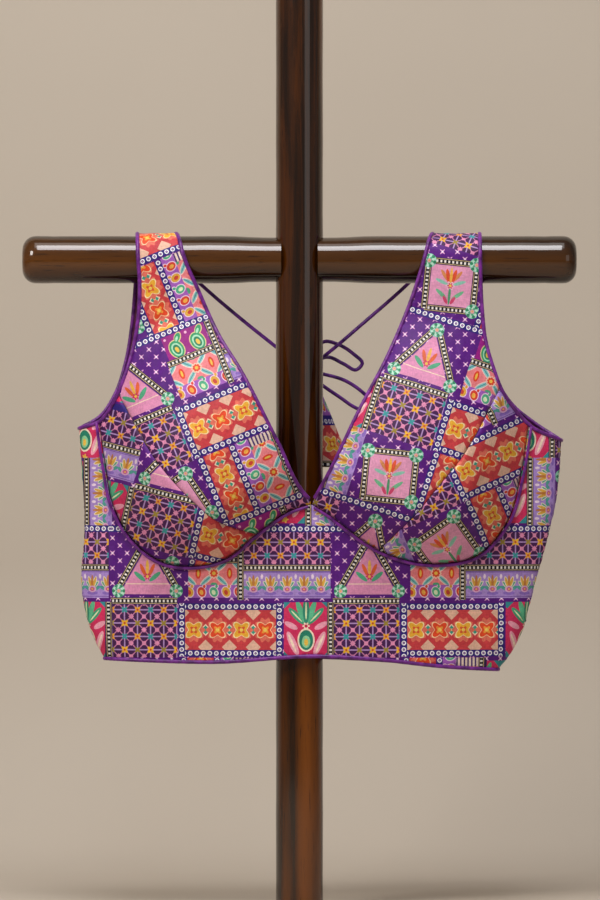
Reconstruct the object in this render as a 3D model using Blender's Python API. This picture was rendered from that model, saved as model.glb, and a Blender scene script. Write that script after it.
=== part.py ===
"""Choli blouse with moulded cups, hung by its straps over the arms of a round wooden cross.

Metres, +Z up, X to the viewer's right, the front of the blouse towards -Y. The origin is the middle of the
post's lower end. Cloth heights equal Z up to the axis of the arms and then run on, round the arm, to the
shoulder seam on top of it.
"""
import math
from collections import namedtuple

import bmesh
import bpy
import numpy as np
from mathutils import Vector

# Wooden cross
POST_RADIUS = 0.0215
POST_LENGTH = 0.8300
ARM_AXIS = 0.5841            # height of the arms' axis
ARM_RADIUS = 0.0215
ARM_REACH = 0.2505           # from the post's axis to the end of an arm
ARM_NECK = 0.0014            # how much thinner an arm is where it meets the post
END_ROUND = 0.0120           # rounding of the arms' ends
WOOD_SIDES = 40
JOINT_GAP = 0.0003

# Cloth and trims
CLOTH = 0.0020               # wall of the printed cloth with what backs it
TRIM_RADIUS = 0.0014         # rolled satin binding and piping
SEAM = 0.0004                # between pieces sewn together
EDGE = 0.0012                # between a panel and the binding on its edge
CUP_EDGE = 0.0012            # from the seam under a cup to the cup's own edge, which turns down there
WRAP_RADIUS = ARM_RADIUS + TRIM_RADIUS + 0.0007
SHOULDER = ARM_AXIS + WRAP_RADIUS * math.pi / 2
INSET = 2 * TRIM_RADIUS + EDGE
STRAP_STARTS, STRAP_FREE = 0.440, 0.545   # between these heights the body turns into flat straps
WRAP_SHARE = 0.24            # of a panel's rows, those that lie round the arm
WRAP_STEPS = 9               # of a binding round the arm, from its front or back to the top

# Dori
CORD_RADIUS = 0.0017
KNOT_RADIUS = 0.0050
KNOT = Vector((0.0050, 0.0310, 0.4842))
CORD_STEP = 0.0085           # between the points of a cord's route
PIPING_RADIUS = 0.0011
PIPING_LIFT = 0.0006         # between the piping under a cup and the band it lies on
PIPING_SHIFT = 0.0014        # from the seam under a cup down to its piping
CUP_CLIMB = 0.0450           # a cup's depth is reached this far in from the seam under it
LATKAN_X, LATKAN_Y, LATKAN_TOP = 0.0105, 0.0350, 0.4725
LATKAN_WALL = 0.0015
LATKAN_FLUTE = 0.03          # how far the rim's flutes swing, as a share of its size

Level = namedtuple("Level", "height left right front back")
Cup = namedtuple("Cup", "x height outer inner up down swell side")
Fold = namedtuple("Fold", "x height across along lean depth")
Ring = namedtuple("Ring", "height wide deep")

# The body's section at each height: where its sides are, and how deep its front and back are.
LEVELS = [Level(*row) for row in (
    # height    left    right   front    back
    (0.2000, -0.1580, 0.1660, 0.0310, 0.0290),
    (0.2220, -0.1750, 0.1870, 0.0310, 0.0290),
    (0.2480, -0.1886, 0.2015, 0.0305, 0.0290),
    (0.2700, -0.1945, 0.2077, 0.0300, 0.0290),
    (0.2960, -0.1976, 0.2145, 0.0300, 0.0290),
    (0.3300, -0.1950, 0.2240, 0.0300, 0.0290),
    (0.3650, -0.1950, 0.2320, 0.0300, 0.0290),
    (0.4050, -0.1978, 0.2362, 0.0300, 0.0290),
    (0.4350, -0.1994, 0.2373, 0.0300, 0.0290),
    (0.6400, -0.1994, 0.2373, 0.0300, 0.0290))]

# Each cup swells forward round its apex and dies out at these distances from it.
CUPS = [Cup(*row) for row in (
    #     x   height   outer   inner      up    down   swell side
    (-0.0920, 0.3900, 0.0950, 0.1100, 0.1500, 0.1150, 0.0530, -1),
    (0.1175, 0.3900, 0.0950, 0.1150, 0.1500, 0.1150, 0.0530, 1))]

# Soft folds: a ridge stands out, a trough (negative depth) sinks in.
FRONT_FOLDS = [Fold(*row) for row in (
    #     x   height  across   along   lean    depth
    (-0.1380, 0.2700, 0.0200, 0.0600, 0.25, 0.0022),
    (-0.0950, 0.2550, 0.0160, 0.0450, 0.10, -0.0016),
    (0.0300, 0.2700, 0.0300, 0.0600, 0.00, 0.0016),
    (0.1250, 0.2600, 0.0200, 0.0500, -0.20, -0.0020),
    (0.1680, 0.2700, 0.0180, 0.0600, -0.30, 0.0022))]
BACK_FOLDS = [Fold(*row) for row in (
    #     x   height  across   along   lean    depth
    (-0.1300, 0.3200, 0.0200, 0.0900, 0.35, 0.0040),
    (-0.0850, 0.2800, 0.0180, 0.0700, 0.15, -0.0018),
    (-0.0350, 0.2900, 0.0220, 0.0700, 0.05, 0.0034),
    (0.0700, 0.2950, 0.0220, 0.0700, -0.10, 0.0036),
    (0.1150, 0.2750, 0.0180, 0.0600, -0.20, -0.0018),
    (0.1600, 0.3200, 0.0220, 0.0900, -0.35, 0.0040))]

# Edges of the pieces, as x and cloth height, each from the shoulder or underarm down and inwards.
V_POINT = (0.0113, 0.3675)
GORE_PEAK = (0.0108, 0.3632)
NECK_LEFT = ((-0.1105, SHOULDER), (-0.1020, 0.5841), (-0.0910, 0.5590), (-0.0707, 0.5148),
             (-0.0527, 0.4860), (-0.0185, 0.4203), (0.0068, 0.3720), V_POINT)
NECK_RIGHT = ((0.1193, SHOULDER), (0.1110, 0.5841), (0.1030, 0.5580), (0.0779, 0.4968),
              (0.0518, 0.4473), (0.0262, 0.3942), (0.0149, 0.3735), V_POINT)
ARMHOLE_LEFT = ((-0.1480, SHOULDER), (-0.1467, 0.5841), (-0.1454, 0.5634), (-0.1490, 0.5148),
                (-0.1589, 0.4779), (-0.1715, 0.4505), (-0.1796, 0.4401), (-0.1994, 0.4329))
ARMHOLE_RIGHT = ((0.1643, SHOULDER), (0.1643, 0.5841), (0.1660, 0.5391), (0.1692, 0.5103),
                 (0.1760, 0.4860), (0.1850, 0.4635), (0.1985, 0.4455), (0.2093, 0.4347), (0.2373, 0.4221))
UNDERBUST_LEFT = ((-0.1814, 0.4390), (-0.1760, 0.4014), (-0.1679, 0.3609), (-0.1503, 0.3303),
                  (-0.1210, 0.3096), (-0.1022, 0.3069), (-0.0670, 0.3132), (-0.0378, 0.3366),
                  (-0.0059, 0.3580), GORE_PEAK)
UNDERBUST_RIGHT = ((0.2075, 0.4362), (0.2003, 0.3906), (0.1868, 0.3456), (0.1589, 0.3159),
                   (0.1256, 0.3092), (0.0752, 0.3195), (0.0419, 0.3411), (0.0270, 0.3530), GORE_PEAK)
CUP_SEAM_LEFT = ((-0.1640, 0.4630), (-0.1240, 0.3969), (-0.0986, 0.3690), (-0.0725, 0.3474), (-0.0392, 0.3357))
CUP_SEAM_RIGHT = ((0.1820, 0.4700), (0.1463, 0.4068), (0.1210, 0.3753), (0.1058, 0.3564), (0.0716, 0.3217))
HEM = ((-0.1751, 0.2223), (-0.1427, 0.2210), (-0.0779, 0.2196), (0.0185, 0.2250), (0.0670, 0.2223),
       (0.1337, 0.2151), (0.1787, 0.2124))
BACK_HEM = ((-0.1751, 0.2223), (-0.0800, 0.2150), (0.0100, 0.2165), (0.1000, 0.2110), (0.1787, 0.2124))
CENTRE_BACK = 0.0100         # x of the closed centre back
BACK_TOP = (CENTRE_BACK, 0.3750)
BACK_NECK_LEFT = ((-0.1105, SHOULDER), (-0.1035, 0.5841), (-0.0985, 0.5680), (-0.0995, 0.5300),
                  (-0.0960, 0.4900), (-0.0840, 0.4480), (-0.0560, 0.4050), (-0.0240, 0.3820), BACK_TOP)
BACK_NECK_RIGHT = ((0.1193, SHOULDER), (0.1118, 0.5841), (0.1068, 0.5680), (0.1090, 0.5300),
                   (0.1070, 0.4900), (0.0980, 0.4480), (0.0740, 0.4050), (0.0440, 0.3820), BACK_TOP)
BACK_ARMHOLE_LEFT = ((-0.1480, SHOULDER), (-0.1490, 0.5841), (-0.1505, 0.5600), (-0.1535, 0.5250),
                     (-0.1590, 0.4920), (-0.1690, 0.4620), (-0.1810, 0.4440), (-0.1994, 0.4329))
BACK_ARMHOLE_RIGHT = ((0.1643, SHOULDER), (0.1650, 0.5841), (0.1670, 0.5400), (0.1710, 0.5050),
                      (0.1800, 0.4760), (0.1960, 0.4520), (0.2120, 0.4390), (0.2373, 0.4221))

LATKAN = [Ring(*row) for row in (
    # height    wide    deep
    (LATKAN_TOP, 0.0050, 0.0048),
    (0.4640, 0.0095, 0.0060),
    (0.4480, 0.0165, 0.0075),
    (0.4300, 0.0235, 0.0088),
    (0.4120, 0.0305, 0.0098),
    (0.3965, 0.0355, 0.0104))]


# ---------------------------------------------------------------- curves in the cloth's own x and height

def smooth(points, steps=16):
    """A smooth curve through the points, as a fine line of x and height."""
    p = np.array(points, float)
    chord = np.cumsum(np.r_[0, np.linalg.norm(np.diff(p, axis=0), axis=1)])
    slope = np.gradient(p, chord, axis=0)
    line = [p[0]]
    for i, length in enumerate(np.diff(chord)):
        for t in np.arange(1, steps + 1) / steps:
            ease = t * t * (3 - 2 * t)
            line.append(p[i] * (1 - ease) + p[i + 1] * ease
                        + length * (slope[i] * t * (1 - t) ** 2 - slope[i + 1] * t * t * (1 - t)))
    return np.array(line)


def distances(line):
    return np.cumsum(np.r_[0, np.linalg.norm(np.diff(line, axis=0), axis=1)])


def at(line, share):
    """The points at these shares of the line's length."""
    run = distances(line)
    return np.column_stack([np.interp(np.asarray(share) * run[-1], run, line[:, k]) for k in range(line.shape[1])])


def between(line, first, last):
    return at(line, np.linspace(first, last, 60))


def shifted(line, distance):
    """The line moved sideways, to the right of its run where distance is positive."""
    run = np.gradient(line, axis=0)
    run /= np.linalg.norm(run, axis=1)[:, None]
    return line + distance * np.column_stack([run[:, 1], -run[:, 0]])


def parted(line):
    """A downward line's stretch round the arm, and the rest of it."""
    last = int(np.sum(line[:, 1] >= ARM_AXIS))
    return line[:last], line[last - 1:]


def crossing(line, other):
    """The shares of two lines at which they come closest."""
    gaps = np.linalg.norm(line[:, None] - other[None], axis=2)
    i, j = np.unravel_index(np.argmin(gaps), gaps.shape)
    return distances(line)[i] / distances(line)[-1], distances(other)[j] / distances(other)[-1]


def up_to(line, other, short=0.0):
    """The line from its start to where it meets the other, less a short length."""
    share = crossing(line, other)[0] - short / distances(line)[-1]
    return between(line, 0, share)


def after(line, other, short=0.0):
    share = crossing(line, other)[0] + short / distances(line)[-1]
    return between(line, share, 1)


# ---------------------------------------------------------------- the body's surface

HEIGHTS = [level.height for level in LEVELS]


def level_value(column, height):
    """A column of LEVELS at a height, read from a smooth curve through its rows."""
    rows = np.array([getattr(level, column) for level in LEVELS])
    slopes = np.gradient(rows, HEIGHTS)
    i = int(np.clip(np.searchsorted(HEIGHTS, height) - 1, 0, len(HEIGHTS) - 2))
    step = HEIGHTS[i + 1] - HEIGHTS[i]
    t = (height - HEIGHTS[i]) / step
    ease = t * t * (3 - 2 * t)
    return (rows[i] * (1 - ease) + rows[i + 1] * ease
            + step * (slopes[i] * t * (1 - t) ** 2 - slopes[i + 1] * t * t * (1 - t)))


def turn_of(x, height):
    """How far round the body's section a point is, from -90 degrees at its left side to 90 at its right."""
    left, right = level_value("left", height), level_value("right", height)
    return math.asin(max(-1.0, min(1.0, (2 * x - left - right) / (right - left))))


def fold_depth(folds, x, height):
    total = 0.0
    for fold in folds:
        along = (height - fold.height) / fold.along
        across = (x - fold.x - fold.lean * (height - fold.height)) / fold.across
        total += fold.depth * math.exp(-along * along - across * across)
    return total


def cup_swell(x, height):
    """How far the moulded cups stand forward: steeply from the seam under them, gently from their other edges."""
    total = 0.0
    for cup, seam in zip(CUPS, CUP_LINES):
        across = (x - cup.x) * cup.side
        rise = height - cup.height
        across /= cup.outer if across > 0 else cup.inner
        rise /= cup.up if rise > 0 else cup.down
        inside = 1 - across * across - rise * rise
        if inside > 0:
            near = float(np.min(np.hypot(seam[:, 0] - x, seam[:, 1] - height)))
            climb = min(1.0, near / CUP_CLIMB)
            total += cup.swell * inside ** (1.0 + 0.6 * max(0.0, rise)) * climb * (2 - climb)
    return total


def no_swell(x, height):
    return 0.0


def body_point(turn, height, depth_column, folds, swell):
    left, right = level_value("left", height), level_value("right", height)
    x = (left + right) / 2 + (right - left) / 2 * math.sin(turn)
    if height > ARM_AXIS:
        wrap = (height - ARM_AXIS) / WRAP_RADIUS
        return Vector((x, SEAM / 2 + WRAP_RADIUS * math.cos(wrap), ARM_AXIS + WRAP_RADIUS * math.sin(wrap)))
    free = min(1.0, max(0.0, (height - STRAP_STARTS) / (STRAP_FREE - STRAP_STARTS)))
    free = free * free * (3 - 2 * free)
    body = level_value(depth_column, height) * math.cos(turn)
    depth = body + (WRAP_RADIUS - body) * free + swell(x, height)
    return Vector((x, SEAM / 2 + depth + fold_depth(folds, x, height) * math.cos(turn), height))


def cup_front(turn, height):
    """The front's middle surface over the cups and straps."""
    point = body_point(turn, height, "front", FRONT_FOLDS, cup_swell)
    return Vector((point.x, -point.y, point.z))


def flat_front(turn, height):
    """The front's middle surface where no cup swells it."""
    point = body_point(turn, height, "front", FRONT_FOLDS, no_swell)
    return Vector((point.x, -point.y, point.z))


def back(turn, height):
    return body_point(turn, height, "back", BACK_FOLDS, no_swell)


def outward(face, turn, height):
    """The cloth's outward direction."""
    step = 0.0005
    height = min(height, SHOULDER - step)
    across = face(turn + step * 4, height) - face(turn - step * 4, height)
    along = face(turn, height + step) - face(turn, height - step)
    normal = across.cross(along).normalized()
    return -normal if face is back else normal


CUP_LINES = (smooth(UNDERBUST_LEFT), smooth(UNDERBUST_RIGHT))


# ---------------------------------------------------------------- making objects

def plain_material(name, colour, roughness, coat=0.0):
    material = bpy.data.materials.new(name)
    material.use_nodes = True
    shader = material.node_tree.nodes["Principled BSDF"]
    shader.inputs["Base Color"].default_value = (*colour, 1)
    shader.inputs["Roughness"].default_value = roughness
    shader.inputs["Coat Weight"].default_value = coat
    return material


def add_object(name, data, material):
    item = bpy.data.objects.new(name, data)
    data.materials.append(material)
    bpy.context.collection.objects.link(item)
    return item


def closed_mesh(name, points, faces, material):
    mesh = bpy.data.meshes.new(name)
    mesh.from_pydata(points, [], faces)
    tidy = bmesh.new()
    tidy.from_mesh(mesh)
    bmesh.ops.recalc_face_normals(tidy, faces=tidy.faces)
    tidy.to_mesh(mesh)
    tidy.free()
    mesh.shade_smooth()
    mesh.set_sharp_from_angle(angle=math.radians(50))
    return add_object(name, mesh, material)


def shell_faces(rows, columns):
    """Quads of a wall with two skins of rows by columns points, the outer skin's points first."""
    skin = rows * columns
    rim = ([(0, c) for c in range(columns)] + [(r, columns - 1) for r in range(1, rows)]
           + [(rows - 1, c) for c in range(columns - 2, -1, -1)] + [(r, 0) for r in range(rows - 2, 0, -1)])
    faces = []
    for r in range(rows - 1):
        for c in range(columns - 1):
            a, b = r * columns + c, (r + 1) * columns + c
            faces += [(a, a + 1, b + 1, b), (skin + b, skin + b + 1, skin + a + 1, skin + a)]
    for (r, c), (s, d) in zip(rim, rim[1:] + rim[:1]):
        a, b = r * columns + c, s * columns + d
        faces.append((b, a, skin + a, skin + b))
    return faces


def read(edge, shares):
    """Points of an edge made of (line, weight) stretches, each stretch taking its weight of the shares."""
    ends = np.cumsum([0] + [weight for _, weight in edge])
    points = []
    for share in shares:
        i = min(int(np.searchsorted(ends, share, side="right")) - 1, len(edge) - 1)
        points.append(at(edge[i][0], [(share - ends[i]) / edge[i][1]])[0])
    return np.array([(turn_of(x, h), h) for x, h in points])


def panel(name, face, edges, rows, across, material):
    """A cloth wall between left, right, bottom and top edges, each run upwards or to the right."""
    up = np.linspace(0, 1, rows)
    left, right = read(edges[0], up), read(edges[1], up)
    bottom, top = read(edges[2], across), read(edges[3], across)
    outer, inner = [], []
    for r, v in enumerate(up):
        for c, u in enumerate(across):
            spot = ((1 - u) * left[r] + u * right[r] + (1 - v) * bottom[c] + v * top[c]
                    - (1 - v) * ((1 - u) * bottom[0] + u * bottom[-1]) - v * ((1 - u) * top[0] + u * top[-1]))
            point, normal = face(*spot), outward(face, *spot)
            outer.append(point + normal * CLOTH / 2)
            inner.append(point - normal * CLOTH / 2)
    return closed_mesh(name, outer + inner, shell_faces(rows, len(across)), material)


def placed(face, line, lift=0.0):
    """The line's points on a face of the body, moved out from the cloth's middle by lift."""
    spots = [(turn_of(x, h), h) for x, h in line]
    return [face(*spot) + outward(face, *spot) * lift for spot in spots]


def tube(name, points, radius, material, resolution=0, cyclic=False):
    curve = bpy.data.curves.new(name, "CURVE")
    curve.dimensions = "3D"
    curve.bevel_depth = radius
    curve.bevel_resolution = resolution
    curve.render_resolution_u = 0
    curve.use_fill_caps = True
    spline = curve.splines.new("POLY")
    spline.points.add(len(points) - 1)
    for spot, point in zip(spline.points, points):
        spot.co = (*point, 1)
    spline.use_cyclic_u = cyclic
    return add_object(name, curve, material)


# ---------------------------------------------------------------- cloth

def to_side(line, column):
    """The line, with its last point carried out to the body's left or right side."""
    height = line[-1][1]
    return np.vstack([line, [(level_value(column, height), height)]])


def hem_line(points, inset):
    line = shifted(smooth(points), -inset)
    return to_side(to_side(line[::-1], "left")[::-1], "right")


def side_line(column, low, high):
    """The body's left or right side between two heights."""
    return np.array([(level_value(column, h), h) for h in np.linspace(low, high, 40)])


def straight(start, end):
    return np.array([start, end], float)


def whole(line):
    return [(line, 1.0)]


class Side:
    """The edge lines of one side of the blouse, all run downwards, and their inset copies."""

    def __init__(self, name, neck, armhole, underbust, seam, back_neck, back_armhole):
        self.name = name
        self.is_left = name == "left"
        self.inwards = 1 if self.is_left else -1     # moves a downward neck line into the cloth
        self.neck, self.armhole = smooth(neck), smooth(armhole)
        self.underbust, self.seam = smooth(underbust), smooth(seam)
        self.back_neck, self.back_armhole = smooth(back_neck), smooth(back_armhole)
        self.neck_in = shifted(self.neck, self.inwards * INSET)
        self.armhole_in = to_side(shifted(self.armhole, -self.inwards * INSET), name)
        self.back_neck_in = shifted(self.back_neck, self.inwards * INSET)
        self.back_armhole_in = to_side(shifted(self.back_armhole, -self.inwards * INSET), name)
        self.cup_base = shifted(self.underbust, -self.inwards * CUP_EDGE)
        self.band_top = shifted(self.underbust, self.inwards * SEAM / 2)
        self.seam_above = shifted(self.seam, -self.inwards * SEAM / 2)
        self.seam_below = shifted(self.seam, self.inwards * SEAM / 2)

    def ordered(self, outer, inner):
        """The outer and inner edges, run upwards, as left and right."""
        outer = [(line[::-1], weight) for line, weight in reversed(outer)]
        inner = [(line[::-1], weight) for line, weight in reversed(inner)]
        return (outer, inner) if self.is_left else (inner, outer)

    def cross_edge(self, outer_end, inner_end):
        ends = (outer_end, inner_end) if self.is_left else (inner_end, outer_end)
        return whole(straight(*ends))


def make_cups(side, cloth):
    """The upper cup, one with its strap, and the lower cup under the cup seam."""
    armhole = up_to(side.armhole_in, side.seam_above)
    seam = up_to(after(side.seam_above, side.armhole_in), side.cup_base)
    base = up_to(after(side.cup_base, side.seam_above), side.neck_in, short=0.001)
    neck = up_to(side.neck_in, side.cup_base, short=0.001)
    armhole_wrap, armhole_free = parted(armhole)
    neck_wrap, neck_free = parted(neck)
    outer = [(armhole_wrap, WRAP_SHARE), (armhole_free, 0.29), (seam, 0.35), (base, 0.12)]
    left, right = side.ordered(outer, [(neck_wrap, WRAP_SHARE), (neck_free, 1 - WRAP_SHARE)])
    bottom = side.cross_edge(base[-1], neck[-1])
    top = side.cross_edge(armhole[0], neck[0])
    panel(f"cup_upper_{side.name}", cup_front, (left, right, bottom, top), 26, np.linspace(0, 1, 10), cloth)

    seam = up_to(after(side.seam_below, side.armhole_in), side.cup_base, short=0.006)
    base = up_to(after(side.cup_base, side.armhole_in), side.seam_below, short=0.007)
    left, right = side.ordered([(base, 1.0)], [(seam, 1.0)])
    bottom = side.cross_edge(base[-1], seam[-1])
    top = after(up_to(side.armhole_in, side.cup_base), side.seam_below)
    top = whole(top[::-1] if side.is_left else top)
    panel(f"cup_lower_{side.name}", cup_front, (left, right, bottom, top), 20, np.linspace(0, 1, 7), cloth)


def make_back(side, cloth):
    hem = hem_line(BACK_HEM, INSET)
    share = np.interp(CENTRE_BACK - side.inwards * SEAM / 2, hem[:, 0], distances(hem)) / distances(hem)[-1]
    hem = between(hem, 0, share) if side.is_left else between(hem, share, 1)
    outer_foot, inner_foot = (hem[0], hem[-1]) if side.is_left else (hem[-1], hem[0])
    body_side = side_line(side.name, side.back_armhole_in[-1][1], outer_foot[1])
    inner_top = (inner_foot[0], side.back_neck_in[-1][1])
    neck = side.back_neck_in[side.inwards * side.back_neck_in[:, 0] < side.inwards * inner_foot[0]]
    armhole_wrap, armhole_free = parted(side.back_armhole_in)
    neck_wrap, neck_free = parted(np.vstack([neck, [inner_top]]))
    outer = [(armhole_wrap, WRAP_SHARE), (armhole_free, 0.50), (body_side, 0.26)]
    inner = [(neck_wrap, WRAP_SHARE), (neck_free, 0.50), (straight(inner_top, inner_foot), 0.26)]
    left, right = side.ordered(outer, inner)
    round_side = np.linspace(0, 1, 11)
    round_side = (round_side + 1 - np.cos(round_side * math.pi / 2)) / 2
    across = round_side if side.is_left else 1 - round_side[::-1]
    top = side.cross_edge(side.back_armhole_in[0], neck[0])
    panel(f"back_{side.name}", back, (left, right, whole(hem), top), 31, across, cloth)


def make_band(sides, cloth):
    """The front below the cups, with the gore between them, running up outside them to the underarms."""
    hem = hem_line(HEM, INSET)
    tops = []
    for side in sides:
        tops.append([(after(side.armhole_in, side.band_top)[::-1], 0.045),
                     (after(side.band_top, side.armhole_in), 0.455)])
    top = tops[0] + [(line[::-1], weight) for line, weight in reversed(tops[1])]
    edges = [whole(side_line(side.name, foot[1], side.armhole_in[-1][1]))
             for side, foot in zip(sides, (hem[0], hem[-1]))]
    across = (1 - np.cos(np.linspace(0, math.pi, 49))) / 2
    across = np.sort(np.r_[across, 0.045, 0.955])
    panel("front_band", flat_front, (*edges, whole(hem), top), 8, across, cloth)


def stepped(line, count):
    """Points down a line: short steps round the arm, then this many longer ones."""
    wrap, free = parted(line)
    return np.vstack([at(wrap, np.linspace(0, 1, WRAP_STEPS))[:-1], at(free, np.linspace(0, 1, count))])


def make_trims(side, satin):
    """The bindings round the armhole and the neck, and the piping under the cup."""
    armhole = stepped(to_side(shifted(side.armhole, -side.inwards * TRIM_RADIUS), side.name), 24)[::-1]
    back_armhole = stepped(to_side(shifted(side.back_armhole, -side.inwards * TRIM_RADIUS), side.name), 24)
    ring = placed(cup_front, armhole) + placed(back, back_armhole)[1:-1]
    tube(f"armhole_binding_{side.name}", ring, TRIM_RADIUS, satin, cyclic=True)

    neck = between(shifted(side.neck, side.inwards * TRIM_RADIUS), 0, 0.988)
    neck = stepped(neck, 24)[::-1]
    back_neck = shifted(side.back_neck, side.inwards * TRIM_RADIUS)
    back_neck = back_neck[side.inwards * back_neck[:, 0] < side.inwards * CENTRE_BACK - 2 * SEAM]
    back_neck = stepped(back_neck, 30)
    tube(f"neck_binding_{side.name}", placed(cup_front, neck) + placed(back, back_neck)[1:], TRIM_RADIUS, satin)

    seam = after(shifted(side.underbust, side.inwards * PIPING_SHIFT), side.armhole_in, short=TRIM_RADIUS)
    seam = at(seam, np.linspace(0, 0.985, 38))
    lift = CLOTH / 2 + PIPING_RADIUS + PIPING_LIFT
    tube(f"underbust_piping_{side.name}", placed(flat_front, seam, lift), PIPING_RADIUS, satin)


def make_hem_binding(satin):
    hem = at(hem_line(HEM, TRIM_RADIUS), (1 - np.cos(np.linspace(0, math.pi, 33))) / 2)
    back_hem = at(hem_line(BACK_HEM, TRIM_RADIUS), (1 + np.cos(np.linspace(0, math.pi, 33))) / 2)
    ring = placed(flat_front, hem) + placed(back, back_hem)[1:-1]
    tube("hem_binding", ring, TRIM_RADIUS, satin, cyclic=True)


# ---------------------------------------------------------------- dori

def smooth_route(points):
    """Points every 8 mm or so along a smooth curve through a cord's own points."""
    line = smooth(points)
    count = max(4, round(distances(line)[-1] / CORD_STEP) + 1)
    return [Vector(point) for point in at(line, np.linspace(0, 1, count))]


def from_knot(direction):
    return KNOT + Vector(direction).normalized() * (KNOT_RADIUS + 0.0006)


def make_dori(cord):
    """Two ties from the back straps to a bow knot behind the post, its two loops and its two tails."""
    for name, points in (
            ("dori_tie_left", [(-0.0952, 0.0245, 0.5676), (-0.0869, 0.0260, 0.5600), (-0.0480, 0.0290, 0.5270),
                               (-0.0180, 0.0300, 0.5030), from_knot((-0.80, 0.00, 0.60))]),
            ("dori_tie_right", [(0.1036, 0.0245, 0.5678), (0.0932, 0.0260, 0.5580), (0.0600, 0.0275, 0.5290),
                                (0.0240, 0.0275, 0.4985), from_knot((0.75, -0.45, 0.50))]),
            ("dori_loop_upper", [from_knot((0.35, 0.25, 0.90)), (0.0130, 0.0345, 0.5040), (0.0235, 0.0350, 0.5108),
                                 (0.0340, 0.0360, 0.5085), (0.0490, 0.0370, 0.4995), (0.0572, 0.0370, 0.4905),
                                 (0.0520, 0.0370, 0.4850), (0.0400, 0.0365, 0.4905), (0.0255, 0.0360, 0.4965),
                                 (0.0160, 0.0350, 0.4935), from_knot((0.80, 0.50, 0.35))]),
            ("dori_loop_lower", [from_knot((0.97, 0.00, -0.15)), (0.0235, 0.0330, 0.4806), (0.0395, 0.0350, 0.4760),
                                 (0.0580, 0.0370, 0.4640), (0.0670, 0.0375, 0.4540), (0.0625, 0.0375, 0.4465),
                                 (0.0520, 0.0370, 0.4500), (0.0360, 0.0360, 0.4605), (0.0235, 0.0345, 0.4690),
                                 (0.0140, 0.0330, 0.4760), from_knot((0.60, 0.30, -0.74))]),
            ("dori_tail_left", [from_knot((-0.15, 0.45, -0.88)), (0.0052, 0.0343, 0.4768),
                                (0.0070, 0.0356, LATKAN_TOP + 0.0022)]),
            ("dori_tail_right", [from_knot((0.35, -0.35, -0.87)), (0.0085, 0.0288, 0.4768),
                                 (0.0115, 0.0300, LATKAN_TOP + 0.0022)])):
        tube(name, smooth_route(points), CORD_RADIUS, cord, resolution=2)
    ball = bmesh.new()
    bmesh.ops.create_icosphere(ball, subdivisions=2, radius=KNOT_RADIUS)
    mesh = bpy.data.meshes.new("dori_knot")
    ball.to_mesh(mesh)
    ball.free()
    mesh.shade_smooth()
    add_object("dori_knot", mesh, cord).location = KNOT


def make_latkan(cloth):
    """The cloth tassel on the dori: a flattened hollow cone, open below, its rim in shallow flutes."""
    sides = 24
    outer, inner = [], []
    for skin, wall in ((outer, 0.0), (inner, LATKAN_WALL)):
        for ring in LATKAN:
            drop = 2 * wall if ring.height > LATKAN_TOP - 0.001 else 0.0
            for k in range(sides):
                angle = 2 * math.pi * k / sides
                flute = 1 + LATKAN_FLUTE * math.cos(6 * angle) * (LATKAN_TOP - ring.height) / 0.08
                skin.append(Vector((LATKAN_X + (ring.wide * flute - wall) * math.cos(angle),
                                    LATKAN_Y + (ring.deep * flute - wall) * math.sin(angle),
                                    ring.height - drop)))
    points = outer + inner
    skin = len(outer)
    faces = [tuple(range(sides)), tuple(range(skin, skin + sides))]
    for r in range(len(LATKAN) - 1):
        for k in range(sides):
            a, b = r * sides + k, r * sides + (k + 1) % sides
            faces += [(a, b, b + sides, a + sides), (skin + a, skin + a + sides, skin + b + sides, skin + b)]
    rim = (len(LATKAN) - 1) * sides
    for k in range(sides):
        a, b = rim + k, rim + (k + 1) % sides
        faces.append((a, b, skin + b, skin + a))
    closed_mesh("latkan", points, faces, cloth)


# ---------------------------------------------------------------- wooden cross

def turned(name, profile, sides, material):
    """A body turned about Z from (radius, height) points, from its lower end to its upper end."""
    points, faces = [], []
    for radius, height in profile:
        for k in range(sides):
            angle = 2 * math.pi * k / sides
            points.append(Vector((radius * math.cos(angle), radius * math.sin(angle), height)))
    for r in range(len(profile) - 1):
        for k in range(sides):
            a, b = r * sides + k, r * sides + (k + 1) % sides
            faces.append((a, b, b + sides, a + sides))
    faces += [tuple(range(sides)), tuple(range(len(points) - sides, len(points)))]
    return closed_mesh(name, points, faces, material)


def make_cross(wood):
    """The post, and an arm on each side that is cut to sit against it."""
    bevel = 0.0015
    turned("post", [(POST_RADIUS - bevel, 0), (POST_RADIUS, bevel), (POST_RADIUS, POST_LENGTH - bevel),
                    (POST_RADIUS - bevel, POST_LENGTH)], WOOD_SIDES, wood)
    cutter = turned("post_cutter", [(POST_RADIUS + JOINT_GAP, 0.5), (POST_RADIUS + JOINT_GAP, 0.7)],
                    2 * WOOD_SIDES, wood)
    cutter.hide_render = True
    cutter.display_type = "WIRE"
    neck = ARM_RADIUS - ARM_NECK
    profile = [(neck, 0.0080), (neck, 0.0290), (neck + ARM_NECK * 0.4, 0.0380), (neck + ARM_NECK * 0.85, 0.0500),
               (ARM_RADIUS, 0.0620), (ARM_RADIUS, ARM_REACH - END_ROUND)]
    for k in range(1, 6):
        angle = math.pi / 2 * k / 5.5
        profile.append((ARM_RADIUS - END_ROUND * (1 - math.cos(angle)),
                        ARM_REACH - END_ROUND * (1 - math.sin(angle))))
    for name, quarter in (("arm_left", -1), ("arm_right", 1)):
        arm = turned(name, profile, WOOD_SIDES, wood)
        arm.location = (0, 0, ARM_AXIS)
        arm.rotation_euler = (0, quarter * math.pi / 2, 0)
        saddle = arm.modifiers.new("saddle", "BOOLEAN")
        saddle.object = cutter
        saddle.operation = "DIFFERENCE"
        saddle.solver = "EXACT"


# ---------------------------------------------------------------- the whole

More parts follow.
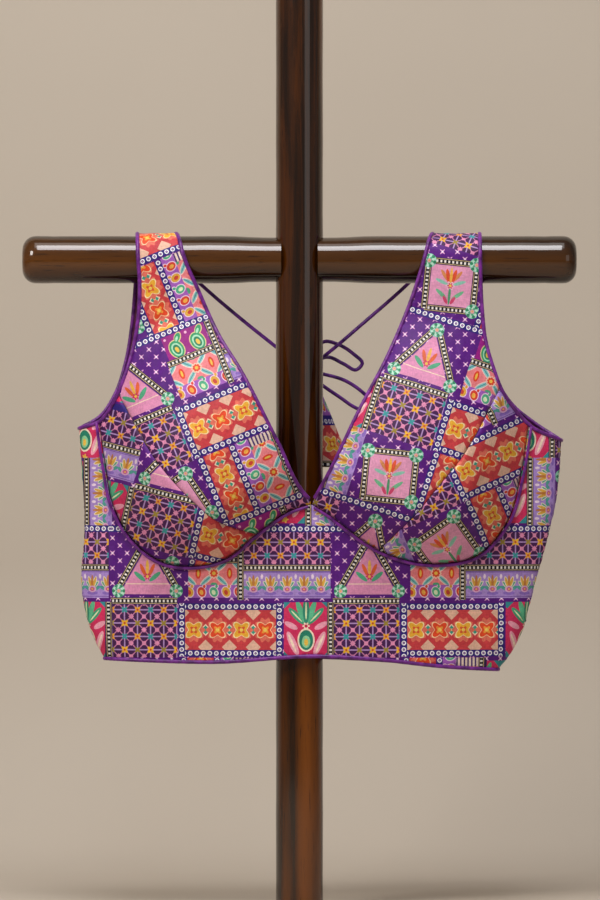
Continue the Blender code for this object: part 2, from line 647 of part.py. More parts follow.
for item in list(bpy.data.objects):
    bpy.data.objects.remove(item, do_unlink=True)

printed_cloth = plain_material("printed_cloth", (0.30, 0.06, 0.20), 0.60)
purple_satin = plain_material("purple_satin", (0.14, 0.008, 0.22), 0.35)
satin_cord = plain_material("satin_cord", (0.10, 0.008, 0.16), 0.40)
varnished_wood = plain_material("varnished_wood", (0.09, 0.03, 0.012), 0.30, coat=0.6)

SIDES = (Side("left", NECK_LEFT, ARMHOLE_LEFT, UNDERBUST_LEFT, CUP_SEAM_LEFT, BACK_NECK_LEFT, BACK_ARMHOLE_LEFT),
         Side("right", NECK_RIGHT, ARMHOLE_RIGHT, UNDERBUST_RIGHT, CUP_SEAM_RIGHT, BACK_NECK_RIGHT,
              BACK_ARMHOLE_RIGHT))
for one_side in SIDES:
    make_cups(one_side, printed_cloth)
    make_back(one_side, printed_cloth)
    make_trims(one_side, purple_satin)
make_band(SIDES, printed_cloth)
make_hem_binding(purple_satin)
make_dori(satin_cord)
make_latkan(printed_cloth)
make_cross(varnished_wood)
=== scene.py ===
"""Choli blouse with moulded cups in a patchwork print, hung by its straps over a round wooden cross rod.

Metres, +Z up, X to the viewer's right, the front of the blouse towards -Y, as in the frame.
"""
import math
from collections import namedtuple

import bmesh
import bpy
import numpy as np
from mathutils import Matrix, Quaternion, Vector, kdtree
from mathutils.geometry import delaunay_2d_cdt


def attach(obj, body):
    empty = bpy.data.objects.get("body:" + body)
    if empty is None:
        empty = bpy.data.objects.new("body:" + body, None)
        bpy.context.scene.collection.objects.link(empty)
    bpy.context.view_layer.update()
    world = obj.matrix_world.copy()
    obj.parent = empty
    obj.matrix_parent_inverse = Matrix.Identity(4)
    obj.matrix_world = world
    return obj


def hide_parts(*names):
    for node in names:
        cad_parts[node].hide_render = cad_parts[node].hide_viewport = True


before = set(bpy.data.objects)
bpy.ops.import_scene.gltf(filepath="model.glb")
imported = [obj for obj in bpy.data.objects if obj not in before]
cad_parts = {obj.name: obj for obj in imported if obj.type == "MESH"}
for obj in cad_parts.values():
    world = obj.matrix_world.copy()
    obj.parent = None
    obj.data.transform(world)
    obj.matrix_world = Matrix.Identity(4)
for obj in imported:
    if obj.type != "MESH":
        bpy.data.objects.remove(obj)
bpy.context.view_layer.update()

# ---------------------------------------------------------------- camera
# A long lens level with the cups, straight on, so the rod runs out of view above and below.
VIEW_TALL = 0.810
VIEW_FROM = 6.0
scene = bpy.context.scene
scene.view_settings.view_transform = "Standard"
camera = bpy.data.objects.new("camera", bpy.data.cameras.new("camera"))
scene.collection.objects.link(camera)
camera.location = (0.0005, -VIEW_FROM - 0.03, 0.412)
camera.rotation_euler = (math.pi / 2, 0, 0)
camera.data.sensor_width = 36
camera.data.lens = 36 * VIEW_FROM / VIEW_TALL
scene.camera = camera


# ---------------------------------------------------------------- dori
# The tie cords are bias-cut purple satin, rolled and sewn into 3.4 mm cords. They run from the back straps to
# a bow knot behind the rod, with two loops and two short tails that hold the latkan.
CORD_RADIUS = 0.0017
KNOT = Vector((0.0050, 0.0310, 0.4842))
KNOT_RADIUS = 0.0050
KNOT_CORE = 0.0037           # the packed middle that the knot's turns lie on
KNOT_WRAP = 0.0016           # a turn's cord, pulled a little thinner
TAIL_END = 0.4747
CORD_POINTS = 0.0020
SIDES = 12                   # of a rolled cord or binding
PUCKER_STEP = 0.0042         # between the stitches that pucker a binding
CORD_TWILL = 1.6             # mm between the satin's slanting ribs, drawn coarser than the real 0.3 mm


def linear(code):
    """The linear colour of an sRGB hex value."""
    parts = [int(code[i:i + 2], 16) / 255 for i in (0, 2, 4)]
    return (*[c / 12.92 if c <= 0.04045 else ((c + 0.055) / 1.055) ** 2.4 for c in parts], 1.0)


def plug(material, made, sockets):
    """Gives each named socket of a node a value, or a link from another node's socket."""
    for socket, value in sockets.items():
        if isinstance(value, bpy.types.NodeSocket):
            material.node_tree.links.new(value, made.inputs[socket])
        else:
            made.inputs[socket].default_value = value
    return made


def node(material, kind, sockets=None, **settings):
    """Adds a node, sets its options and fills its sockets."""
    made = material.node_tree.nodes.new(kind)
    for option, value in settings.items():
        setattr(made, option, value)
    return plug(material, made, sockets or {})


def new_material(name):
    """A material with only its shader and output."""
    material = bpy.data.materials.new(name)
    material.use_nodes = True
    return material, material.node_tree.nodes["Principled BSDF"]


def satin(name, dark, light, twill):
    """Polyester satin: bright floats over a dark ground, ribs that slant across the rolled strip."""
    material, shader = new_material(name)
    cloth = node(material, "ShaderNodeUVMap", uv_map="cloth").outputs["UV"]
    place = node(material, "ShaderNodeTexCoord").outputs["Object"]
    slant = node(material, "ShaderNodeMapping", {"Vector": cloth, "Rotation": (0, 0, 0.7)})
    ribs = node(material, "ShaderNodeTexWave", {"Vector": slant.outputs[0], "Scale": 2 * math.pi / twill / 20,
                                                "Distortion": 1.2, "Detail": 1.0})
    patches = node(material, "ShaderNodeTexNoise", {"Vector": place, "Scale": 160.0, "Detail": 3.0})
    tone = node(material, "ShaderNodeMapRange", {0: patches.outputs["Fac"], 1: 0.32, 2: 0.70})
    colour = node(material, "ShaderNodeMix", {0: tone.outputs[0], 6: linear(dark), 7: linear(light)},
                  data_type="RGBA")
    both = node(material, "ShaderNodeMath", {0: ribs.outputs["Fac"], 1: 0.6, 2: patches.outputs["Fac"]},
                operation="MULTIPLY_ADD")
    bump = node(material, "ShaderNodeBump", {"Strength": 0.35, "Distance": 0.0003, "Height": both.outputs[0]})
    rough = node(material, "ShaderNodeMapRange", {0: patches.outputs["Fac"], 3: 0.30, 4: 0.46})
    plug(material, shader, {"Base Color": colour.outputs[2], "Normal": bump.outputs[0],
                            "Roughness": rough.outputs[0], "Sheen Weight": 0.35, "Sheen Roughness": 0.35,
                            "Sheen Tint": linear("D9A8E8")})
    return material


def smooth(points, steps=16):
    """A smooth curve through the points, as a fine line."""
    p = np.array(points, float)
    chord = np.cumsum(np.r_[0, np.linalg.norm(np.diff(p, axis=0), axis=1)])
    slope = np.gradient(p, chord, axis=0)
    line = [p[0]]
    for i, length in enumerate(np.diff(chord)):
        for t in np.arange(1, steps + 1) / steps:
            ease = t * t * (3 - 2 * t)
            line.append(p[i] * (1 - ease) + p[i + 1] * ease
                        + length * (slope[i] * t * (1 - t) ** 2 - slope[i + 1] * t * t * (1 - t)))
    return np.array(line)


def distances(line):
    return np.cumsum(np.r_[0, np.linalg.norm(np.diff(line, axis=0), axis=1)])


def at(line, share):
    """The points at these shares of the line's length."""
    run = distances(line)
    places = np.asarray(share) * run[-1]
    return np.column_stack([np.interp(places, run, column) for column in line.T])


def new_piece(name, points, faces, materials, uvs=None, kinds=None):
    """A mesh piece with its place in its mesh, smooth, and with a UV map in millimetres of cloth."""
    mesh = bpy.data.meshes.new(name)
    mesh.from_pydata([tuple(p) for p in points], [], faces)
    for material in materials:
        mesh.materials.append(material)
    if kinds is not None:
        mesh.polygons.foreach_set("material_index", np.asarray(kinds, np.int32))
    if uvs is not None:
        mesh.uv_layers.new(name="cloth").data.foreach_set("uv", np.asarray(uvs, np.float32).ravel())
    mesh.shade_smooth()
    piece = bpy.data.objects.new(name, mesh)
    scene.collection.objects.link(piece)
    return piece


def put(piece, slot, *cad_nodes):
    """The piece takes the place of its plain solids."""
    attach(piece, "root")
    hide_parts(*cad_nodes)


def deselect():
    for item in bpy.context.selected_objects:
        item.select_set(False)


def rolled(name, points, radius, material, closed=False, pucker=0.0):
    """A rolled strip of cloth along the points: a tube with rounded ends, or a ring where it is closed."""
    points = [Vector(p) for p in points]
    count = len(points)
    ahead = [(points[(i + 1) % count] if closed or i < count - 1 else points[i])
             - (points[i - 1] if closed or i else points[i]) for i in range(count)]
    side = ahead[0].orthogonal().normalized()
    sides_at = [side]
    for i in range(1, count):
        turn = ahead[i - 1].rotation_difference(ahead[i])
        side = (turn @ side).normalized()
        sides_at.append(side)
    slip = 0.0
    if closed:
        last = (ahead[-1].rotation_difference(ahead[0]) @ side).normalized()
        slip = math.atan2(last.cross(sides_at[0]).dot(ahead[0].normalized()), last.dot(sides_at[0]))
    run = distances(np.array(points))
    rings, spots, shares = [], [], []
    for i, point in enumerate(points):
        size = radius * (1 + pucker * math.sin(run[i] * 2 * math.pi / PUCKER_STEP))
        rings.append((point, ahead[i].normalized(), sides_at[i], slip * i / count, size, run[i] * 1000))
    if not closed:
        for end, way in ((0, -1), (-1, 1)):
            point, line, side, twist, size, length = rings[end]
            cap = [(point + line * way * radius * 0.55, line, side, twist, size * 0.80, length),
                   (point + line * way * radius * 0.90, line, side, twist, size * 0.35, length)]
            rings = cap[::-1] + rings if end == 0 else rings + cap
    for point, line, side, twist, size, length in rings:
        other = line.cross(side)
        for k in range(SIDES):
            angle = 2 * math.pi * k / SIDES + twist
            spots.append(point + (side * math.cos(angle) + other * math.sin(angle)) * size)
        shares.append(length)
    faces, uvs = [], []
    around = 2 * math.pi * radius * 1000
    total = run[-1] * 1000 + (points[0] - points[-1]).length * 1000
    for r in range(len(rings) if closed else len(rings) - 1):
        low, high = shares[r], shares[r + 1] if r + 1 < len(rings) else total
        for k in range(SIDES):
            a, b = r * SIDES + k, r * SIDES + (k + 1) % SIDES
            c, d = [(v + SIDES) % (len(rings) * SIDES) for v in (b, a)]
            faces.append((a, b, c, d))
            u, v = k / SIDES * around, (k + 1) / SIDES * around
            uvs += [(low, u), (low, v), (high, v), (high, u)]
    if not closed:
        faces += [tuple(range(SIDES))[::-1], tuple(range(len(spots) - SIDES, len(spots)))]
        uvs += [(0, 0)] * (2 * SIDES)
    return new_piece(name, spots, faces, [material], uvs)


def from_knot(direction):
    return KNOT + Vector(direction).normalized() * (KNOT_RADIUS + 0.0006)


cord_satin = satin("purple_satin_cord", "4A0E74", "8A3AB4", CORD_TWILL)
tie_left = [(-0.0952, 0.0245, 0.5676), (-0.0869, 0.0260, 0.5600), (-0.0480, 0.0290, 0.5270),
            (-0.0180, 0.0300, 0.5030), from_knot((-0.80, 0.00, 0.60))]
tie_right = [(0.1036, 0.0245, 0.5678), (0.0932, 0.0260, 0.5580), (0.0600, 0.0275, 0.5290),
             (0.0240, 0.0275, 0.4985), from_knot((0.75, -0.45, 0.50))]
tail_left = [from_knot((-0.15, 0.45, -0.88)), (0.0052, 0.0343, 0.4768), (0.0070, 0.0356, TAIL_END)]
tail_right = [from_knot((0.35, -0.35, -0.87)), (0.0085, 0.0288, 0.4768), (0.0115, 0.0300, TAIL_END)]
loop_upper = [from_knot((0.35, 0.25, 0.90)), (0.0130, 0.0345, 0.5040), (0.0235, 0.0350, 0.5108),
              (0.0340, 0.0360, 0.5085), (0.0490, 0.0370, 0.4995), (0.0572, 0.0370, 0.4905),
              (0.0520, 0.0370, 0.4850), (0.0400, 0.0365, 0.4905), (0.0255, 0.0360, 0.4965),
              (0.0160, 0.0350, 0.4935), from_knot((0.80, 0.50, 0.35))]
loop_lower = [from_knot((0.97, 0.00, -0.15)), (0.0235, 0.0330, 0.4806), (0.0395, 0.0350, 0.4760),
              (0.0580, 0.0370, 0.4640), (0.0670, 0.0375, 0.4540), (0.0625, 0.0375, 0.4465),
              (0.0520, 0.0370, 0.4500), (0.0360, 0.0360, 0.4605), (0.0235, 0.0345, 0.4690),
              (0.0140, 0.0330, 0.4760), from_knot((0.60, 0.30, -0.74))]
middle = [KNOT + Vector((0, 0.0006, -0.0004))]
for name, route, nodes, far_end in (
        ("dori_cord_left", tie_left + middle + tail_left, ("dori_tie_left", "dori_tail_left"), "fitting"),
        ("dori_cord_right", tie_right + middle + tail_right, ("dori_tie_right", "dori_tail_right"), "object"),
        ("dori_bow_upper", loop_upper, ("dori_loop_upper",), "object"),
        ("dori_bow_lower", loop_lower, ("dori_loop_lower",), "object")):
    line = smooth(route)
    line = at(line, np.linspace(0, 1, round(distances(line)[-1] / CORD_POINTS) + 1))
    cord = rolled(name, line, CORD_RADIUS, cord_satin)
    put(cord, "satin_cord", *nodes)

# The bow's knot: three turns of the cord pulled tight over each other round a packed middle.
turns = []
for lean, swing, size in ((0.2, 0.0, 0.0034), (1.3, 0.5, 0.0033), (0.8, 1.9, 0.0031)):
    tilt = Quaternion((0, 0, 1), swing) @ Quaternion((1, 0, 0), lean)
    turns.append([KNOT + tilt @ Vector((math.cos(a) * size, math.sin(a) * size, 0))
                  for a in np.linspace(0, 2 * math.pi, 36, endpoint=False)])
deselect()
bpy.ops.mesh.primitive_ico_sphere_add(subdivisions=3, radius=KNOT_CORE, location=KNOT)
knot = bpy.context.object
bpy.ops.object.transform_apply(location=True, rotation=False, scale=False)
knot.name = knot.data.name = "dori_bow_knot"
knot.data.materials.append(cord_satin)
knot.data.uv_layers[0].name = "cloth"
for k, ring in enumerate(turns):
    wrap = rolled(f"wrap_{k}", ring, KNOT_WRAP, cord_satin, closed=True)
    wrap.select_set(True)
bpy.context.view_layer.objects.active = knot
bpy.ops.object.join()
knot.data.shade_smooth()
put(knot, "satin_cord", "dori_knot")


# ---------------------------------------------------------------- wooden cross rod
# A turned hardwood post with an arm let in on each side, stained dark brown and brushed with gloss varnish.
# The arms' ends are rounded and their inner ends are cut hollow to sit against the post.
POST_RADIUS = 0.0215
ARM_RADIUS = 0.0215
ARM_AXIS = 0.5841
ARM_REACH = 0.2505
ARM_START = 0.0165           # the arms' inner ends are let into the post's sides
ARM_NECK = 0.0014            # how much thinner an arm is by the post
NECK_ENDS, NECK_LONG = 0.062, 0.033
END_ROUND = 0.0120
POST_LENGTH, POST_EDGE = 0.8300, 0.0015
RINGS = 40                   # cut round a bar
WOOD_SIDES = 72
HAND_WORK = 0.0003           # the unevenness that hand sanding leaves


def varnished(name, grain_along, dark, brown, warm_streak):
    """Sheesham under gloss varnish: long streaks in two browns, fine pores, and a clear coat over all."""
    material, shader = new_material(name)
    place = node(material, "ShaderNodeTexCoord").outputs["Object"]
    stretch = [90.0, 90.0, 90.0]
    stretch[grain_along] = 4.5
    drawn = node(material, "ShaderNodeMapping", {"Vector": place, "Scale": stretch}).outputs[0]
    streaks = node(material, "ShaderNodeTexNoise", {"Vector": drawn, "Scale": 1.0, "Detail": 5.0,
                                                    "Roughness": 0.62, "Distortion": 0.6})
    pores = node(material, "ShaderNodeTexNoise", {"Vector": drawn, "Scale": 9.0, "Detail": 2.0})
    wide = node(material, "ShaderNodeTexNoise", {"Vector": drawn, "Scale": 0.3, "Detail": 2.0})
    tone = node(material, "ShaderNodeMapRange", {0: streaks.outputs["Fac"], 1: 0.36, 2: 0.70})
    warm = node(material, "ShaderNodeMapRange", {0: wide.outputs["Fac"], 1: 0.52, 2: 0.74})
    base = node(material, "ShaderNodeMix", {0: tone.outputs[0], 6: linear(dark), 7: linear(brown)},
                data_type="RGBA")
    lit = node(material, "ShaderNodeMix", {0: warm.outputs[0], 6: base.outputs[2], 7: linear(warm_streak)},
               data_type="RGBA")
    pits = node(material, "ShaderNodeMapRange", {0: pores.outputs["Fac"], 1: 0.60, 2: 0.72, 3: 0.0, 4: 0.65})
    colour = node(material, "ShaderNodeMix", {0: pits.outputs[0], 6: lit.outputs[2], 7: linear("0C0602")},
                  data_type="RGBA")
    bump = node(material, "ShaderNodeBump", {"Strength": 0.25, "Distance": 0.0003,
                                             "Height": streaks.outputs["Fac"]})
    rough = node(material, "ShaderNodeMapRange", {0: streaks.outputs["Fac"], 3: 0.30, 4: 0.48})
    plug(material, shader, {"Base Color": colour.outputs[2], "Normal": bump.outputs[0],
                            "Roughness": rough.outputs[0], "Coat Weight": 1.0, "Coat Roughness": 0.06,
                            "Coat IOR": 1.55, "Specular IOR Level": 0.05})
    return material


def rod(name, radius, low, high, turn, bevel):
    """A round bar between two places on its own axis, its ends bevelled, cut into short rings."""
    deselect()
    middle = Vector((0, 0, (low + high) / 2))
    spin = Quaternion((0, 1, 0), turn)
    bpy.ops.mesh.primitive_cylinder_add(vertices=WOOD_SIDES, radius=radius, depth=high - low,
                                        end_fill_type="NGON")
    bar = bpy.context.object
    bar.name = bar.data.name = name
    bpy.ops.object.mode_set(mode="EDIT")
    work = bmesh.from_edit_mesh(bar.data)
    bpy.ops.mesh.select_all(action="DESELECT")
    for face in work.faces:
        if face.normal.z > 0.9 or (face.normal.z < -0.9 and not turn):
            for edge in face.edges:
                edge.select = True
    bmesh.update_edit_mesh(bar.data)
    bpy.ops.mesh.select_mode(type="EDGE")
    bpy.ops.mesh.bevel(offset=bevel, segments=7 if turn else 4, affect="EDGES")
    bpy.ops.mesh.select_all(action="DESELECT")
    work = bmesh.from_edit_mesh(bar.data)
    for edge in work.edges:
        a, b = edge.verts
        edge.select = abs(a.co.z - b.co.z) > (high - low) * 0.6
    bmesh.update_edit_mesh(bar.data)
    bpy.ops.mesh.subdivide(number_cuts=RINGS)
    bpy.ops.object.mode_set(mode="OBJECT")
    for spot in bar.data.vertices:
        local = spot.co + middle
        if turn:
            near = max(0.0, min(1.0, (NECK_ENDS - local.z) / NECK_LONG))
            local.xy *= 1 - ARM_NECK / radius * near * near * (3 - 2 * near)
        angle = math.atan2(local.y, local.x)
        wave = math.sin(local.z * 61 + 1.3 * math.sin(angle)) + 0.6 * math.sin(local.z * 143 + 2 * angle)
        if low + 2 * bevel < local.z < high - 2 * bevel:
            local.xy *= 1 - HAND_WORK / radius * (0.5 + 0.3 * wave)
        spot.co = spin @ local + Vector((0, 0, ARM_AXIS if turn else 0))
    return bar


grain_up = varnished("varnished_sheesham_post", 2, "1C0B00", "4E2500", "844606")
# The arms get a darker copy of the post's wood: its own brown, darkened all over as painted shade of the
# shaded undersides of the arms.
shaded_grain_across = varnished("varnished_sheesham_arm_with_painted_shade", 0, "0C0400", "2A1300", "5A3206")
post = rod("cross_post", POST_RADIUS, 0.0, POST_LENGTH, 0.0, POST_EDGE)
arms = [rod(f"cross_arm_{side}", ARM_RADIUS, ARM_START, ARM_REACH, way * math.pi / 2, END_ROUND)
        for side, way in (("left", -1), ("right", 1))]
deselect()
bpy.ops.mesh.primitive_cylinder_add(vertices=2 * WOOD_SIDES, radius=POST_RADIUS + 0.0002, depth=0.2,
                                    location=(0, 0, ARM_AXIS))
cutter = bpy.context.object
for arm in arms:
    saddle = arm.modifiers.new("saddle", "BOOLEAN")
    saddle.object = cutter
    saddle.solver = "EXACT"
    bpy.context.view_layer.objects.active = arm
    bpy.ops.object.modifier_apply(modifier="saddle")
bpy.data.objects.remove(cutter, do_unlink=True)
for bar, cad_node, grain in ((post, "post", grain_up), (arms[0], "arm_left", shaded_grain_across),
                             (arms[1], "arm_right", shaded_grain_across)):
    bar.data.materials.append(grain)
    bar.data.shade_smooth()
    bar.data.set_sharp_from_angle(angle=math.radians(40))
    put(bar, "varnished_wood", cad_node)


# ---------------------------------------------------------------- the blouse's form
# The cloth hangs as a flat body with moulded foam cups, which narrows to flat straps that go over the arms.
# Each place on it is a turn round the body and a height along the cloth, which past the arms' axis runs
# round them.
CLOTH = 0.0020               # wall of the frame's cloth
PRINT_LIFT = 0.0005          # the printed cloth's outer face, from that wall's middle
LINING = 0.0010              # printed cloth with its lining
TRIM_RADIUS = 0.0014         # rolled satin binding
SEAM = 0.0004
WRAP_RADIUS = ARM_RADIUS + TRIM_RADIUS + 0.0007
SHOULDER = ARM_AXIS + WRAP_RADIUS * math.pi / 2
STRAP_STARTS, STRAP_FREE = 0.440, 0.545
PIPING_RADIUS = 0.0011
PIPING_LIFT = 0.0006
PIPING_SHIFT = 0.0014
CUP_CLIMB = 0.0450           # a cup's depth is reached this far in from the seam under it
SIDE_DEPTH = 0.155           # the body's depth over its half width, for measuring cloth round its sides

Level = namedtuple("Level", "height left right front back")
Cup = namedtuple("Cup", "x height outer inner up down swell side")
Fold = namedtuple("Fold", "x height across along lean depth")
Face = namedtuple("Face", "depth folds swells way")

# The body's section at each height: where its sides are, and how deep its front and back are.
LEVELS = [Level(*row) for row in (
    # height    left    right   front    back
    (0.2000, -0.1580, 0.1660, 0.0310, 0.0290),
    (0.2220, -0.1750, 0.1870, 0.0310, 0.0290),
    (0.2480, -0.1886, 0.2015, 0.0305, 0.0290),
    (0.2700, -0.1945, 0.2077, 0.0300, 0.0290),
    (0.2960, -0.1976, 0.2145, 0.0300, 0.0290),
    (0.3300, -0.1950, 0.2240, 0.0300, 0.0290),
    (0.3650, -0.1950, 0.2320, 0.0300, 0.0290),
    (0.4050, -0.1978, 0.2362, 0.0300, 0.0290),
    (0.4350, -0.1994, 0.2373, 0.0300, 0.0290),
    (0.6400, -0.1994, 0.2373, 0.0300, 0.0290))]

# Each cup swells forward round its apex and dies out at these distances from it.
CUPS = [Cup(*row) for row in (
    #     x   height   outer   inner      up    down   swell side
    (-0.0920, 0.3900, 0.0950, 0.1100, 0.1500, 0.1150, 0.0530, -1),
    (0.1175, 0.3900, 0.0950, 0.1150, 0.1500, 0.1150, 0.0530, 1))]

# Soft folds: a ridge stands out, a trough (negative depth) sinks in.
FRONT_FOLDS = [Fold(*row) for row in (
    #     x   height  across   along   lean    depth
    (-0.1380, 0.2700, 0.0200, 0.0600, 0.25, 0.0022),
    (-0.0950, 0.2550, 0.0160, 0.0450, 0.10, -0.0016),
    (0.0300, 0.2700, 0.0300, 0.0600, 0.00, 0.0016),
    (0.1250, 0.2600, 0.0200, 0.0500, -0.20, -0.0020),
    (0.1680, 0.2700, 0.0180, 0.0600, -0.30, 0.0022))]
BACK_FOLDS = [Fold(*row) for row in (
    #     x   height  across   along   lean    depth
    (-0.1300, 0.3200, 0.0200, 0.0900, 0.35, 0.0040),
    (-0.0850, 0.2800, 0.0180, 0.0700, 0.15, -0.0018),
    (-0.0350, 0.2900, 0.0220, 0.0700, 0.05, 0.0034),
    (0.0700, 0.2950, 0.0220, 0.0700, -0.10, 0.0036),
    (0.1150, 0.2750, 0.0180, 0.0600, -0.20, -0.0018),
    (0.1600, 0.3200, 0.0220, 0.0900, -0.35, 0.0040))]
# Edges of the pieces, as x and cloth height, each from the shoulder or underarm down and inwards.
V_POINT = (0.0113, 0.3675)
GORE_PEAK = (0.0108, 0.3632)
NECK_LEFT = ((-0.1105, SHOULDER), (-0.1020, 0.5841), (-0.0910, 0.5590), (-0.0707, 0.5148),
             (-0.0527, 0.4860), (-0.0185, 0.4203), (0.0068, 0.3720), V_POINT)
NECK_RIGHT = ((0.1193, SHOULDER), (0.1110, 0.5841), (0.1030, 0.5580), (0.0779, 0.4968),
              (0.0518, 0.4473), (0.0262, 0.3942), (0.0149, 0.3735), V_POINT)
ARMHOLE_LEFT = ((-0.1480, SHOULDER), (-0.1467, 0.5841), (-0.1454, 0.5634), (-0.1490, 0.5148),
                (-0.1589, 0.4779), (-0.1715, 0.4505), (-0.1796, 0.4401), (-0.1994, 0.4329))
ARMHOLE_RIGHT = ((0.1643, SHOULDER), (0.1643, 0.5841), (0.1660, 0.5391), (0.1692, 0.5103),
                 (0.1760, 0.4860), (0.1850, 0.4635), (0.1985, 0.4455), (0.2093, 0.4347), (0.2373, 0.4221))
UNDERBUST_LEFT = ((-0.1814, 0.4390), (-0.1760, 0.4014), (-0.1679, 0.3609), (-0.1503, 0.3303),
                  (-0.1210, 0.3096), (-0.1022, 0.3069), (-0.0670, 0.3132), (-0.0378, 0.3366),
                  (-0.0059, 0.3580), GORE_PEAK)
UNDERBUST_RIGHT = ((0.2075, 0.4362), (0.2003, 0.3906), (0.1868, 0.3456), (0.1589, 0.3159),
                   (0.1256, 0.3092), (0.0752, 0.3195), (0.0419, 0.3411), (0.0270, 0.3530), GORE_PEAK)
CUP_SEAM_LEFT = ((-0.1640, 0.4630), (-0.1240, 0.3969), (-0.0986, 0.3690), (-0.0725, 0.3474),
                 (-0.0392, 0.3357))
CUP_SEAM_RIGHT = ((0.1820, 0.4700), (0.1463, 0.4068), (0.1210, 0.3753), (0.1058, 0.3564),
                  (0.0716, 0.3217))
HEM = ((-0.1751, 0.2223), (-0.1427, 0.2210), (-0.0779, 0.2196), (0.0185, 0.2250), (0.0670, 0.2223),
       (0.1337, 0.2151), (0.1787, 0.2124))
# The back's hem hangs a little higher than in the plain solid, so that it hides behind the front's.
BACK_HEM = ((-0.1751, 0.2223), (-0.0800, 0.2200), (0.0100, 0.2225), (0.1000, 0.2180), (0.1787, 0.2124))
CENTRE_BACK = 0.0100         # x of the closed centre back
BACK_TOP = (CENTRE_BACK, 0.3750)
BACK_NECK_LEFT = ((-0.1105, SHOULDER), (-0.1035, 0.5841), (-0.0985, 0.5680), (-0.0995, 0.5300),
                  (-0.0960, 0.4900), (-0.0840, 0.4480), (-0.0560, 0.4050), (-0.0240, 0.3820), BACK_TOP)
BACK_NECK_RIGHT = ((0.1193, SHOULDER), (0.1118, 0.5841), (0.1068, 0.5680), (0.1090, 0.5300),
                   (0.1070, 0.4900), (0.0980, 0.4480), (0.0740, 0.4050), (0.0440, 0.3820), BACK_TOP)
BACK_ARMHOLE_LEFT = ((-0.1480, SHOULDER), (-0.1490, 0.5841), (-0.1505, 0.5600), (-0.1535, 0.5250),
                     (-0.1590, 0.4920), (-0.1690, 0.4620), (-0.1810, 0.4440), (-0.1994, 0.4329))
BACK_ARMHOLE_RIGHT = ((0.1643, SHOULDER), (0.1650, 0.5841), (0.1670, 0.5400), (0.1710, 0.5050),
                      (0.1800, 0.4760), (0.1960, 0.4520), (0.2120, 0.4390), (0.2373, 0.4221))


def shifted(line, distance):
    """The line moved sideways, to the right of its run where distance is positive."""
    run = np.gradient(line, axis=0)
    run /= np.linalg.norm(run, axis=1)[:, None]
    return line + distance * np.column_stack([run[:, 1], -run[:, 0]])


def between(line, first, last, count=90):
    return at(line, np.linspace(first, last, count))


def crossing(line, other):
    """The share of the line at which it comes closest to the other."""
    gaps = np.linalg.norm(line[:, None] - other[None], axis=2)
    return distances(line)[np.unravel_index(np.argmin(gaps), gaps.shape)[0]] / distances(line)[-1]


def up_to(line, other, short=0.0):
    return between(line, 0, crossing(line, other) - short / distances(line)[-1])


def after(line, other, short=0.0):
    return between(line, crossing(line, other) + short / distances(line)[-1], 1)


HEIGHTS = np.array([level.height for level in LEVELS])


def level_value(column, height):
    """A column of LEVELS at some heights, read from a smooth curve through its rows."""
    rows = np.array([getattr(level, column) for level in LEVELS])
    slopes = np.gradient(rows, HEIGHTS)
    height = np.asarray(height, float)
    i = np.clip(np.searchsorted(HEIGHTS, height) - 1, 0, len(HEIGHTS) - 2)
    step = HEIGHTS[i + 1] - HEIGHTS[i]
    t = (height - HEIGHTS[i]) / step
    ease = t * t * (3 - 2 * t)
    return (rows[i] * (1 - ease) + rows[i + 1] * ease
            + step * (slopes[i] * t * (1 - t) ** 2 - slopes[i + 1] * t * t * (1 - t)))


def turn_of(x, height):
    """How far round the body's section some places are, from -90 degrees at its left to 90 at its right."""
    left, right = level_value("left", height), level_value("right", height)
    return np.arcsin(np.clip((2 * x - left - right) / (right - left), -1, 1))


def fold_depth(folds, x, height):
    total = np.zeros_like(x)
    for fold in folds:
        along = (height - fold.height) / fold.along
        across = (x - fold.x - fold.lean * (height - fold.height)) / fold.across
        total += fold.depth * np.exp(-along * along - across * across)
    return total


CUP_LINES = (smooth(UNDERBUST_LEFT), smooth(UNDERBUST_RIGHT))


def cup_swell(x, height):
    """How far the moulded cups stand forward: steeply from the seam under them, gently elsewhere."""
    total = np.zeros_like(x)
    for cup, seam in zip(CUPS, CUP_LINES):
        across = (x - cup.x) * cup.side
        across = across / np.where(across > 0, cup.outer, cup.inner)
        rise = height - cup.height
        rise = rise / np.where(rise > 0, cup.up, cup.down)
        inside = np.maximum(0, 1 - across * across - rise * rise)
        near = np.min(np.hypot(seam[:, 0, None] - x, seam[:, 1, None] - height), axis=0)
        climb = np.minimum(1.0, near / CUP_CLIMB)
        total += cup.swell * inside ** (1.0 + 0.6 * np.maximum(0.0, rise)) * climb * (2 - climb)
    return total


def on_body(face, turn, height):
    """Points of the cloth's middle at some turns and heights."""
    left, right = level_value("left", height), level_value("right", height)
    x = (left + right) / 2 + (right - left) / 2 * np.sin(turn)
    free = np.clip((height - STRAP_STARTS) / (STRAP_FREE - STRAP_STARTS), 0, 1)
    free = free * free * (3 - 2 * free)
    body = level_value(face.depth, height) * np.cos(turn)
    depth = SEAM / 2 + body + (WRAP_RADIUS - body) * free + fold_depth(face.folds, x, height) * np.cos(turn)
    if face.swells:
        depth = depth + cup_swell(x, height)
    wrap = np.maximum(0, height - ARM_AXIS) / WRAP_RADIUS
    depth = np.where(height > ARM_AXIS, SEAM / 2 + WRAP_RADIUS * np.cos(wrap), depth)
    rise = np.where(height > ARM_AXIS, ARM_AXIS + WRAP_RADIUS * np.sin(wrap), height)
    return np.column_stack([x, depth * face.way, rise])


